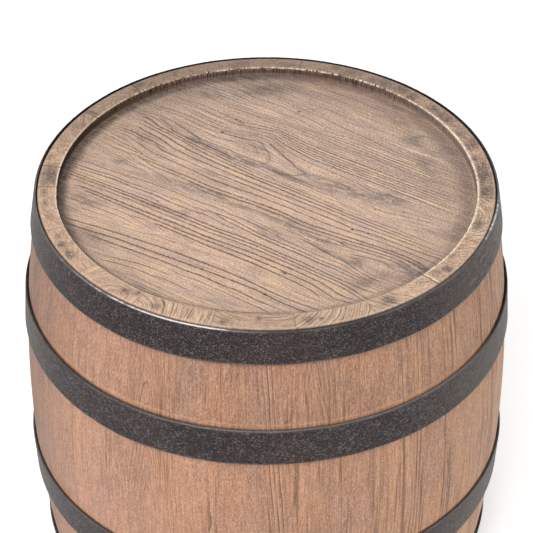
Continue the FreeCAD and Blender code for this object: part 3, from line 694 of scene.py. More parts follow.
# The main growth rings of the head, in three families whose members lie well
# apart. Each ring: how strong it is at its start, middle and end, then places
# (u, v) along it.
RINGS = [
    [
        ((3, 2, 4), [(-36, 242.8), (53, 244.3)]),
        ((4, 5, 4), [(-86, 234.7), (-74, 236.8), (-44, 233.2), (44, 226.4), (112, 223.3)]),
        ((2, 3, 2), [(-69, 220.5), (16, 217.5), (41, 215), (68, 216.8), (80, 214.1), (129, 213)]),
        ((2, 2, 3), [(-125, 207.4), (-110, 209.9), (-80, 208.4), (-62, 205.4)]),
        ((2, 2, 3), [(15, 205.8), (31, 202.9), (72, 201.4), (96, 198.1), (136, 197), (145, 198.1)]),
        ((2, 3, 3), [(-58, 197), (-32, 196.3), (52, 188.2), (88, 186.8), (109, 184), (146, 182.1)]),
        ((2, 2, 2), [(-168, 174.7), (-144, 175.6), (-114, 168), (-100, 169.7), (-70, 170.1), (-50, 165.7),
            (-30, 163.4), (-5, 156.9)]),
        ((3, 3, 2), [(-124, 156.5), (-94, 157.3), (-40, 155.2), (-22, 149.5), (-16, 148.7), (-6, 148.9),
            (28, 153.2), (128, 149.9), (136, 148.4), (168, 137.7), (206, 137.3)]),
        ((3, 4, 3), [(-142, 140.1), (-71, 140.8), (-57, 142), (72, 135.5), (98, 132.9), (158, 129.5),
            (197, 129.8)]),
        ((2, 3, 3), [(-96, 124.1), (-60, 125.6), (-53, 127.1), (-28, 122.3), (16, 116.9), (42, 115.5),
            (71, 116), (80, 114.3), (107, 113), (170, 111.6)]),
        ((3, 6, 4), [(-206, 120.9), (-197, 119.1), (-168, 120.7), (-118, 114.7), (-96, 108.5), (-93, 108.5),
            (-63, 116.4), (-52, 117.8), (-13, 111), (18, 107.2), (117, 103), (224, 101.2)]),
        ((3, 3, 3), [(-180, 104.6), (-140, 98.6), (-113, 97.2)]),
        ((5, 7, 3), [(-58, 104.5), (-52, 104.8), (-22, 95.7), (12, 89.4), (165, 81.8), (218, 76.1),
            (233, 76)]),
        ((3, 3, 5), [(-214, 89.2), (-204, 89.4), (-193, 91.3), (-172, 91), (-162, 90.2), (-144, 86.5),
            (-123, 85.5), (-96, 88.4), (-72, 95.9), (-63, 97.1), (-28, 91.6), (-10, 85.4), (8, 81.5),
            (77, 75.2), (92, 72.7), (106, 68.4), (118, 68)]),
        ((4, 6, 4), [(-122, 78.6), (-94, 81.5), (-68, 87.2), (-50, 85.6)]),
        ((2, 5, 3), [(-184, 77), (-156, 72.2), (-130, 69.4), (-114, 68.5), (-94, 70.2), (-81, 69.6),
            (-60, 64.1)]),
        ((2, 3, 2), [(-29, 69.8), (-2, 63.8), (12, 62.1), (43, 61.3), (70, 62.2), (76, 61.5), (84, 58.8)]),
        ((3, 6, 3), [(-239, 71.6), (-230, 68.9), (-202, 71), (-186, 70.3), (-128, 54.1), (-90, 52.9),
            (-71, 50.3), (-43, 50), (-30, 48.7), (-25, 49.4)]),
        ((3, 5, 3), [(124, 40.9), (134, 38.8), (143, 38.6), (198, 49.1), (206, 49.5)]),
        ((3, 3, 2), [(-9, 42.6), (2, 43.3), (36, 41.3), (66, 38.5), (73, 36.4)]),
        ((8, 5, 3), [(-220, 58.8), (-210, 59.4), (-191, 51.1), (-170, 47.9), (-139, 40.9), (-38, 27.1),
            (48, 22.3), (108, 17.2), (246, 11.9)]),
        ((2, 3, 2), [(40, 30.9), (78, 26.9), (91, 27.6), (103, 24.2)]),
        ((2, 1, 2), [(-248, 29), (-214, 29.5), (-186, 25.4), (-168, 25.2)]),
        ((8, 8, 4), [(-211, 44.1), (-170, 36.9), (-150, 30.8), (-128, 25.9), (-75, 19.4), (57, 10.4),
            (88, 9.3), (114, 6.8), (248, 2.2)]),
        ((4, 7, 6), [(-230, 20.1), (-208, 18.8), (-192, 14.5), (-176, 14.1), (-152, 8.1), (-86, 2.2),
            (78, -5.7), (106, -7.6), (127, -10.9), (138, -9.1), (157, -8.5), (223, -10), (248, -9.1)]),
        ((3, 4, 4), [(-246, -12.4), (-214, -17.4), (-196, -17.2), (-190, -19.4), (-172, -28.9),
            (-128, -36.6), (-114, -41.7)]),
        ((6, 9, 7), [(-171, -18.3), (-140, -21.1), (-92, -22.9), (-70, -25.8), (22, -24.8), (43, -26.3),
            (58, -28.9), (82, -30), (195, -25.2), (215, -26.3), (230, -28.6), (244, -34)]),
        ((1, 4, 3), [(-206, -39.5), (-187, -38.3), (-152, -40.6)]),
        ((6, 6, 5), [(66, -43.1), (122, -41), (131, -42.2), (143, -45.9), (158, -43.6), (192, -41.1),
            (212, -43.6), (226, -48.3)]),
        ((3, 4, 3), [(151, -54.9), (163, -53.3), (172, -50.5), (188, -49.5), (196, -50.5), (212, -56.1)]),
        ((1, 5, 2), [(37, -52.6), (79, -54.9), (93, -57.5), (102, -57), (116, -58.8)]),
        ((5, 6, 3), [(-168, -59), (-152, -57.5), (-101, -57.5), (-54, -60.2), (-39, -58.5), (-26, -59.1),
            (-12, -62.1), (4, -61.9), (38, -66.3), (68, -71.9), (125, -77.7), (152, -77.7), (194, -90),
            (226, -90.7)]),
        ((4, 6, 3), [(-240, -71.5), (-206, -70.8), (-182, -68.7), (-154, -70.5), (-136, -69.5),
            (-122, -70.2), (-114, -68.7), (-85, -73.4)]),
        ((3, 2, 3), [(164, -68.3), (188, -76.4), (204, -77.9), (232, -77.8)]),
        ((5, 8, 5), [(-46, -67.3), (-31, -69.4), (-8, -77.1), (3, -77.1), (40, -83.2), (98, -86.7),
            (122, -89.6), (148, -90.2), (182, -94.5)]),
        ((7, 8, 6), [(-234, -87.1), (-212, -88.2), (-122, -89), (-103, -90.5), (-56, -91.5), (-10, -94.5),
            (10, -93), (30, -93.5), (108, -98.9), (124, -101.1), (194, -106.8), (214, -106)]),
        ((8, 9, 7), [(-206, -107.6), (-194, -107), (-105, -110.8), (-59, -111.5), (-14, -114.5), (48, -113.5),
            (115, -117.4), (147, -121), (158, -122.7), (172, -128.3), (181, -130.4), (200, -128.8)]),
        ((3, 3, 3), [(-216, -125.6), (-182, -126.5), (-125, -125.4), (-83, -134.9)]),
        ((8, 9, 6), [(-86, -125.4), (-78, -124.2), (-3, -129.2), (56, -130.2), (122, -136), (146, -139.9),
            (161, -146)]),
        ((3, 4, 3), [(-210, -135.4), (-202, -134.4), (-124, -134.4), (-100, -139.6)]),
        ((2, 2, 2), [(-196, -155.6), (-172, -155.7), (-150, -151.4), (-115, -151.2), (-86, -148.5),
            (-78, -146.5), (-62, -138.7), (-40, -137.5)]),
        ((2, 2, 2), [(112, -147.9), (124, -151.4), (142, -152.6), (152, -152.2), (170, -153.8), (187, -153.1)]),
        ((7, 9, 6), [(-182, -170.3), (-136, -165.4), (-46, -159.8), (33, -160), (68, -161.9), (108, -166.6),
            (142, -168.2), (175, -166.5)]),
        ((9, 9, 8), [(-175, -178.5), (-148, -177.6), (-108, -173.7), (10, -171.2), (84, -171.5),
            (126, -177.1), (150, -178.2), (164, -177)]),
        ((6, 8, 9), [(-137, -184.5), (-36, -182), (-6, -183.2), (21, -182.5), (62, -185.8)]),
        ((4, 6, 5), [(-96, -207.9), (-54, -200.4), (-36, -199.5), (-11, -200.7)]),
        ((5, 5, 4), [(-96, -217.1), (-88, -214.5), (-57, -211), (-42, -210.9), (-19, -213.8)]),
        ((6, 3, 4), [(-125, -215.4), (-100, -225), (-72, -233.4), (-34, -240.8), (-12, -242.2), (5, -239.1),
            (18, -238.8), (66, -228.4), (97, -216.2), (124, -201.6), (131, -202.1)]),
    ],
    [
        ((3, 4, 4), [(26, 233), (70, 233.9), (88, 231.2)]),
        ((2, 4, 2), [(-80, 180.8), (-30, 176.4), (13, 168.2), (52, 164.2), (70, 159.9), (96, 156.1),
            (126, 155), (136, 155.9), (154, 154), (178, 154.2), (189, 153.1)]),
        ((2, 2, 3), [(106, 146.1), (112, 144), (120, 143.1), (126, 144.5), (168, 142.8), (202, 143.2)]),
        ((3, 4, 5), [(-40, 144.7), (62, 141), (100, 137.7), (142, 135.7)]),
        ((3, 4, 3), [(-95, 135), (-54, 137.6), (-21, 135.6), (-9, 133.8), (6, 133.6), (28, 130.7),
            (78, 129.9), (94, 127.6), (112, 127.7), (127, 124.5), (153, 123.8), (168, 125), (190, 125),
            (203, 123.5), (215, 124)]),
        ((3, 7, 3), [(-115, 114.8), (-94, 114.9), (-73, 120.2), (-50, 121.6), (-15, 116), (22, 112.2),
            (222, 105.1)]),
        ((4, 5, 3), [(-91, 107.7), (-82, 106.3), (-60, 109.7), (-54, 109.3), (-2, 100.3), (29, 97.2),
            (87, 94.5), (208, 91.1)]),
        ((3, 5, 2), [(-182, 100), (-138, 93.6), (-122, 92.2), (-98, 93.7), (-80, 98.3), (-73, 97.2)]),
        ((2, 4, 4), [(-216, 83.1), (-178, 84.8), (-146, 79.8), (-118, 76.6)]),
        ((2, 4, 5), [(-54, 92.5), (-43, 88.5), (-20, 75.8), (2, 66.9)]),
        ((2, 2, 2), [(173, 74.9), (192, 72.4), (238, 70.5)]),
        ((2, 3, 2), [(95, 72.7), (107, 73.5), (134, 71), (148, 72.2), (160, 71.1)]),
        ((4, 4, 3), [(-242, 63.9), (-232, 63.1), (-207, 64.1), (-194, 60.5), (-180, 54.8), (-140, 45.6),
            (-66, 35), (-33, 31.2), (29, 26.2), (44, 26.3)]),
        ((4, 3, 2), [(-72, 45.2), (-14, 42.7), (6, 37.9), (25, 37.6), (50, 34.1), (74, 33.6)]),
        ((6, 7, 5), [(-216, 52.3), (-196, 46.9), (-166, 42.6), (-110, 30.7), (-37, 22.1), (43, 18.1),
            (104, 12.6), (200, 8.8)]),
        ((2, 5, 5), [(-248, 23.4), (-212, 24.7), (-195, 20.8), (-177, 18.9), (-152, 12.7)]),
        ((8, 7, 4), [(-212, 36.6), (-200, 33.1), (-176, 29.4), (-148, 19.7), (-112, 14.3), (-85, 11.9),
            (-29, 7.5), (78, 3.3), (129, -1.1), (198, -1.5), (238, -3.7), (248, -2.9)]),
        ((3, 6, 4), [(-250, 4.1), (-236, 1.2), (-225, 0.4), (-208, -4.3), (-190, -5.6), (-163, -14.6),
            (-150, -14.8)]),
        ((5, 7, 5), [(-224, 13.4), (-214, 13.4), (-170, -0.6), (-84, -10), (-76, -12.1), (-35, -12.7),
            (-10, -11.3), (14, -13.2), (44, -14), (89, -17.7), (122, -18.3), (161, -16.5), (194, -16.8),
            (246, -20)]),
        ((5, 8, 7), [(-191, -16.9), (-184, -16), (-178, -16.9), (-149, -26.3), (-110, -27.4), (-76, -31.5),
            (-22, -31.8), (2, -30.2), (20, -31.8), (40, -31.6), (63, -35.2), (80, -36.5), (139, -33.6),
            (164, -31), (198, -30.2), (216, -31.8), (234, -36.1), (244, -35.3)]),
        ((3, 4, 2), [(-220, -25.5), (-210, -28.6), (-195, -29.6), (-184, -32.9), (-167, -35.3)]),
        ((4, 4, 5), [(-106, -38.8), (-92, -36), (-28, -41.7), (-2, -38.8), (24, -40.8), (42, -39.6),
            (72, -44.8)]),
        ((4, 6, 6), [(93, -50.9), (110, -48.4), (127, -48.1), (140, -46.3)]),
        ((2, 2, 3), [(-154, -50.9), (-119, -54.7), (-97, -52.7), (-86, -53.8), (-73, -53.1)]),
        ((2, 5, 3), [(-236, -62.2), (-208, -60.2), (-193, -61.5), (-174, -59.3), (-156, -63.3)]),
        ((3, 4, 3), [(75, -59.3), (97, -61.6), (108, -64.6), (136, -69.9), (148, -70.2), (177, -80.2),
            (190, -81.7), (200, -84.4), (217, -82.5)]),
        ((5, 7, 5), [(-238, -76.7), (-223, -77.3), (-176, -74), (-148, -76), (-115, -75.3), (-86, -78.8),
            (-52, -79.2), (-36, -77.6), (-6, -84.3), (8, -83.8)]),
        ((5, 6, 4), [(-61, -71), (-44, -71), (-26, -68.5), (-6, -69.1), (39, -77.9), (91, -80.6),
            (124, -84.3), (152, -85.1), (180, -90.2), (192, -90.1)]),
        ((3, 3, 3), [(136, -97.6), (185, -99.2), (223, -98.9)]),
        ((7, 8, 6), [(-232, -92.5), (-170, -92.8), (-154, -94.1), (-137, -93.5), (-19, -99.5), (42, -99),
            (160, -108.8), (177, -111.4), (211, -119.8)]),
        ((4, 3, 3), [(-120, -125.2), (-97, -124.6), (-66, -130.6)]),
        ((7, 9, 6), [(-196, -111.8), (-42, -120.3), (40, -121.5), (91, -124.4), (138, -128.9), (177, -138.8),
            (187, -138.6), (196, -135.9), (200, -136.6)]),
        ((2, 3, 3), [(-70, -143.6), (-62, -144.9), (-36, -142.5), (-8, -144.5), (8, -140.4), (26, -142)]),
        ((3, 2, 2), [(-176, -144.2), (-136, -142.8), (-95, -143.6)]),
        ((3, 2, 2), [(-200, -149.9), (-174, -150.8), (-148, -156.6), (-118, -155.7)]),
        ((2, 2, 3), [(81, -155.2), (132, -159.7), (146, -162.6)]),
        ((8, 7, 3), [(59, -184.2), (67, -183.8), (101, -188.6), (148, -189.9)]),
        ((2, 2, 6), [(-164, -188.8), (-155, -189.8), (-107, -189.8), (-92, -190.9), (-84, -189),
            (-76, -188.6), (-49, -191.4), (-42, -189.8), (-29, -189.5), (-14, -191.1), (-2, -194.4),
            (9, -192.3), (20, -192.2), (124, -200.4)]),
        ((3, 3, 4), [(-144, -204), (-136, -207.6), (-122, -209.4), (-92, -209.1)]),
        ((5, 5, 3), [(-32, -211.4), (-22, -209.5), (-2, -210.6), (18, -213.6), (27, -213.1)]),
        ((2, 3, 2), [(-92, -226.2), (-85, -225.7), (-74, -228.3), (-46, -222.8), (-16, -226.6), (2, -227.1),
            (28, -229.9), (43, -232.4)]),
        ((3, 4, 4), [(-46, -236.7), (-36, -236.3), (2, -238.9)]),
    ],
    [
        ((3, 4, 3), [(40, 147.1), (49, 148.1), (59, 145.5), (142, 139.6)]),
        ((2, 3, 2), [(-163, 137.6), (-146, 134.3), (-100, 134.6), (-82, 130), (-57, 132.1), (-50, 130.8)]),
        ((3, 3, 3), [(-28, 129.2), (3, 127.6), (23, 124.7), (35, 125.3), (64, 124.1), (85, 120.8),
            (100, 121.1), (122, 118.2), (144, 118), (166, 116.3)]),
        ((3, 5, 4), [(-182, 114.8), (-168, 111.8), (-126, 107.1), (-104, 106), (-96, 107.6)]),
        ((6, 4, 3), [(-48, 113.1), (-13, 106.7), (20, 102.6), (116, 98.8), (164, 98), (180, 96.6),
            (204, 97.2), (223, 96.3)]),
        ((2, 4, 5), [(-77, 99.6), (-60, 103.2), (-32, 93)]),
        ((4, 5, 3), [(-29, 101.6), (9, 94.7), (45, 92.2), (134, 88.2), (218, 86.5)]),
        ((2, 3, 3), [(-116, 73), (-91, 75.9), (-70, 76.5), (-54, 72.9)]),
        ((6, 4, 3), [(-151, 49.5), (-132, 48.2), (-96, 43.1), (-84, 42.7), (-68, 39.3), (-33, 38.8),
            (-12, 33.3)]),
        ((2, 2, 3), [(-103, -3.2), (-58, -4.2), (-25, -6.5)]),
        ((3, 4, 4), [(-250, -7.5), (-226, -5.9), (-208, -9.9), (-176, -11.8)]),
        ((6, 6, 4), [(124, -40.4), (200, -35.2), (222, -39.1), (238, -44.9), (242, -45.4)]),
        ((2, 2, 1), [(4, -56.2), (51, -63.1), (64, -63), (86, -64.9)]),
        ((3, 4, 4), [(-96, -68.7), (-86, -68.4), (-68, -71), (-48, -75.5)]),
        ((4, 2, 2), [(-236, -82.8), (-114, -82.8), (-97, -88.3)]),
        ((5, 7, 6), [(-230, -99), (-133, -99.3), (-94, -102.8), (-40, -104), (-18, -106), (8, -104.7),
            (49, -105.4), (122, -110.6), (175, -116.2), (208, -125.4)]),
        ((2, 3, 3), [(25, -218.7), (71, -218.9), (90, -222.9)]),
        ((1, 2, 2), [(-74, -225.4), (-59, -230.6), (-7, -233.4), (21, -236.9)]),
    ],
]


def ring_curves():
    out = []
    k = np.exp(-0.5 * (np.arange(-6, 7) / 2.2) ** 2)
    k /= k.sum()
    for family in RINGS:
        rows = []
        for power, pts in family:
            pu = np.array([p[0] for p in pts], float)
            pv = np.array([p[1] for p in pts], float)
            uu = np.arange(pu[0], pu[-1] + 0.1, 2.0)
            vv = np.interp(uu, pu, pv)
            vv = np.convolve(np.pad(vv, 6, mode="reflect", reflect_type="odd"), k, "valid")
            vv = vv + 0.16 * noise2(uu / 6.0, pv[0] + 0 * uu, 201)
            rows.append((uu, vv, np.interp(uu, np.linspace(uu[0], uu[-1], 3), power) / 9.0))
        out.append(rows)
    return out


CURVES = ring_curves()
FU = np.arange(-272.0, 272.1, 2.0)
FV = np.arange(-300.0, 300.1, 1.0)


def flow_field():
    """A coordinate that is constant along the grain, on the FU x FV grid. Its
    value is v where u is 0."""
    num = np.zeros((len(FV), len(FU)))
    den = np.full_like(num, 0.04)
    for family in CURVES:
        for uu, vv, _ in family:
            sl = np.gradient(vv, uu)
            for j in range(np.searchsorted(FU, uu[0]), np.searchsorted(FU, uu[-1])):
                w = np.exp(-0.5 * ((FV - np.interp(FU[j], uu, vv)) / 5.0) ** 2)
                num[:, j] += w * np.interp(FU[j], uu, sl)
                den[:, j] += w
    slope = num / den
    k = np.exp(-0.5 * (np.arange(-8, 9) / 3.5) ** 2)
    k /= k.sum()
    pad = np.pad(slope, ((0, 0), (8, 8)), mode="edge")
    slope = sum(k[i] * pad[:, i:i + len(FU)] for i in range(17))
    W = np.zeros_like(slope)
    mid = len(FU) // 2
    W[:, mid] = FV
    for j in range(mid + 1, len(FU)):
        s = 0.5 * (slope[:, j - 1] + slope[:, j])
        W[:, j] = np.interp(FV - s * 2.0, FV, W[:, j - 1])
    for j in range(mid - 1, -1, -1):
        s = 0.5 * (slope[:, j + 1] + slope[:, j])
        W[:, j] = np.interp(FV + s * 2.0, FV, W[:, j + 1])
    return W


FLOW = flow_field()


def flow_at(u, v):
    x = np.clip((u - FU[0]) / 2.0, 0, len(FU) - 1.001)
    y = np.clip((v - FV[0]) / 1.0, 0, len(FV) - 1.001)
    i, j = x.astype(int), y.astype(int)
    a, b = x - i, y - j
    return (FLOW[j, i] * (1 - a) + FLOW[j, i + 1] * a) * (1 - b) \
        + (FLOW[j + 1, i] * (1 - a) + FLOW[j + 1, i + 1] * a) * b


# ring spacing along the line u = 0, with uneven widths
_v = np.linspace(-320, 320, 1281)
_step = np.interp(_v, [-240, -120, -95, -20, 40, 62, 85, 190, 240],
                  [6.5, 6.0, 4.4, 4.6, 4.6, 3.6, 2.9, 2.9, 3.6])
_G = np.concatenate([[0], np.cumsum(((1 / _step)[1:] + (1 / _step)[:-1]) / 2 * np.diff(_v))])
_k = np.arange(-20, 240)
_w = 0.62 + 0.76 * hash01(_k, _k * 0, 77)
_w = _w / _w.mean()
_T = np.concatenate([[0], np.cumsum(_w)])[:-1]
_T -= np.interp(0.0, _k, _T)


def ring_field(X, Y):
    u, v = grain_uv(X, Y)
    w = flow_at(u, v)
    g = np.interp(w, _v, _G)
    g = g + 0.14 * noise2(u / 40, w / 9, 12) + 0.05 * noise2(u / 13, w / 4, 13)
    return u, v, w, np.interp(g, _T, _k.astype(float))


SMOKE = [  # X, Y, half length, half width, turn, weight
    (-3, 224, 45, 16, 10, .6), (-66, 213, 42, 14, -10, .35), (189, 112, 21, 21, 0, .5),
    (150, -14, 26, 15, -28, .85), (100, 4, 62, 13, -30, .75), (38, 38, 14, 10, 0, .35),
    (-38, 72, 48, 8, -32, .8), (-94, 112, 12, 8, -30, .6), (-10, 87, 17, 14, -30, .35),
    (-182, 66, 12, 10, 0, .5), (-112, 17, 56, 10, -27, .5), (-38, -28, 52, 8, -30, .45),
    (-224, -17, 31, 14, -20, .5), (3, -82, 23, 12, -30, .6), (63, -101, 18, 19, -30, .55),
    (178, -160, 34, 22, -30, .75), (122, -176, 30, 14, 30, .5), (-147, -203, 26, 10, -25, .6), (-210, -91, 42, 17, -25, .4),
    (-157, 115, 28, 21, -30, .3), (106, -138, 11, 12, -50, .7), (-101, -45, 10, 9, 0, .4),
    (203, 52, 21, 42, 0, .45), (-66, 38, 31, 7, -30, .3), (227, -87, 21, 21, 0, .35),
    (-20, 250, 60, 10, 5, .5), (60, 30, 34, 7, -30, .6), (-60, 20, 60, 6, -29, .4),
    (20, -55, 60, 6, -30, .55), (-135, -30, 40, 6, -27, .35), (175, 150, 30, 14, -38, .35),
    (-118, 136, 10, 6, -45, .6), (-80, 102, 22, 5, -33, .8), (75, -122, 34, 5, -37, .6),
    (-68, -1, 66, 7, -31, .75), (30, -72, 66, 6, -36, .60), (22, 37, 50, 6, -36, .75)]
CLEAN = [  # smooth pale places between the lines
    (-45, 168, 45, 14, -32, .5), (-140, 140, 21, 7, -35, .5), (-21, 175, 31, 9, -30, .35),
    (84, 157, 52, 8, -33, .4), (91, 220, 42, 7, -20, .4), (-157, 66, 21, 7, -30, .5),
    (70, 38, 46, 17, -35, .9), (108, 7, 26, 11, -30, .8), (-17, 88, 26, 15, -30, .7),
    (24, 60, 20, 14, -40, .7), (-17, -3, 56, 6, -30, .4), (128, -146, 24, 18, -10, 1.0),
    (-157, -122, 56, 21, -27, .5), (-66, -175, 45, 14, -25, .55), (-175, -168, 21, 14, -30, .5),
    (45, -91, 21, 7, -20, .3), (124, -149, 14, 11, 0, .8), (-66, 10, 42, 4, -30, .4),
    (-217, -59, 21, 9, -20, .4), (24, -150, 31, 14, -30, .35), (168, -42, 31, 14, -25, .3),
    (20, -165, 70, 12, -30, .6), (150, 120, 70, 22, -35, .45), (40, 130, 60, 14, -33, .35)]
CRACKS = [  # strength, then places along the line
    (0.90, [(-135.4, 159.4), (-129.9, 152.2), (-123.7, 144.3), (-119.8, 140.3), (-120.8, 135.1),
        (-116.6, 129.9), (-110.5, 125.3), (-103.6, 119.5), (-96.0, 112.4), (-88.4, 106.6), (-80.9,
        102.7), (-71.9, 96.3), (-62.2, 91.2)]),
    (0.75, [(-115.6, 148.2), (-105.6, 139.0), (-96.4, 129.2), (-91.7, 122.1), (-86.4, 116.9),
        (-83.3, 107.9)]),
    (0.70, [(-180.3, 136.4), (-171.9, 132.5), (-164.2, 126.0), (-157.9, 118.2), (-150.3, 113.0),
        (-141.2, 106.6), (-137.3, 101.4), (-135.6, 95.0), (-131.7, 89.3), (-124.9, 84.2), (-112.8,
        75.9)]),
    (0.45, [(-53.5, 114.5), (-45.7, 110.3), (-35.9, 107.7), (-27.2, 104.4), (-20.4, 101.8),
        (-14.5, 96.8), (-12.4, 90.1), (-12.1, 83.4), (-12.7, 76.8)]),
    (0.75, [(-40.9, 119.6), (-31.1, 115.3), (-19.4, 111.1), (-10.7, 109.4), (-5.8, 103.5),
        (-2.4, 94.3), (1.9, 83.4), (4.8, 71.8), (3.9, 65.2), (-0.9, 61.1), (-6.2, 58.6)]),
    (0.35, [(-23.3, 106.9), (-15.5, 103.5), (-9.7, 98.5), (-4.8, 88.4), (-1.0, 80.1), (0.5,
        71.8), (-0.5, 66.0)]),
    (0.85, [(4.9, 102.7), (9.7, 93.5), (15.5, 86.8), (21.2, 76.8), (26.9, 68.5), (31.7, 61.9),
        (36.4, 52.9), (42.1, 48.0), (46.9, 43.1), (47.8, 38.2), (41.1, 35.7), (33.4, 34.9), (24.8,
        36.5), (18.2, 39.0), (11.5, 43.9)]),
    (0.50, [(7.7, 45.5), (14.3, 37.4), (20.0, 32.5), (26.7, 30.0), (33.4, 29.2), (40.0, 25.2),
        (46.6, 21.1)]),
    (0.35, [(13.4, 42.2), (19.1, 33.3), (24.8, 26.8), (32.4, 23.6), (38.0, 19.5)]),
    (0.70, [(49.1, -99.7), (56.5, -108.3), (63.9, -114.5), (69.8, -120.6), (75.6, -124.9),
        (81.5, -130.4), (87.4, -134.0), (94.6, -140.1), (99.7, -146.1), (106.1, -154.5)]),
    (0.60, [(100.8, -130.4), (105.2, -134.0), (108.8, -137.6), (112.3, -143.7), (110.7,
        -149.7)]),
    (0.60, [(104.6, -126.7), (115.0, -129.1), (121.6, -132.2), (129.7, -135.2), (136.2, -138.8),
        (146.4, -146.1)]),
    (0.30, [(111.4, -152.1), (117.8, -159.3), (124.3, -163.5), (130.9, -165.3), (141.2,
        -164.7)]),
]
PINS = [(42.0, 174.8, 2.0), (-38.5, 157.4, 1.6), (-33.2, 153.2, 1.4), (-28.7, 149.7, 1.2),
        (-56.0, 128.7, 2.0), (-100.4, 90.2, 1.2), (103.2, -76.2, 1.8), (90.9, -104.2, 1.5),
        (122.4, -83.9, 1.4), (167.9, -40.2, 1.2), (21.7, -161.6, 2.2), (18.5, -159.5, 1.4),
        (132.2, -35.7, 1.3), (-62.9, -17.5, 1.1), (-1.7, -201.1, 1.8), (-132.9, -17.5, 1.2),
        (183.6, -54.2, 1.0), (-87.4, 66.4, 1.0)]


def nearest_ring(u, v, rows):
    """How far v is past the family's nearest ring, and that ring's strength."""
    gap, power = np.full(u.shape, 9.0), np.zeros(u.shape)
    for uu, vv, pw in rows:
        g = v - np.interp(u, uu, vv)
        near = (np.abs(g) < np.abs(gap)) & (u > uu[0] - 6) & (u < uu[-1] + 6)
        ends = smooth(uu[0] - 6, uu[0] + 8, u) * smooth(uu[-1] + 6, uu[-1] - 8, u)
        gap = np.where(near, g, gap)
        power = np.where(near, np.interp(u, uu, pw) * ends, power)
    return gap, power * smooth(3.0, 2.0, np.abs(gap))


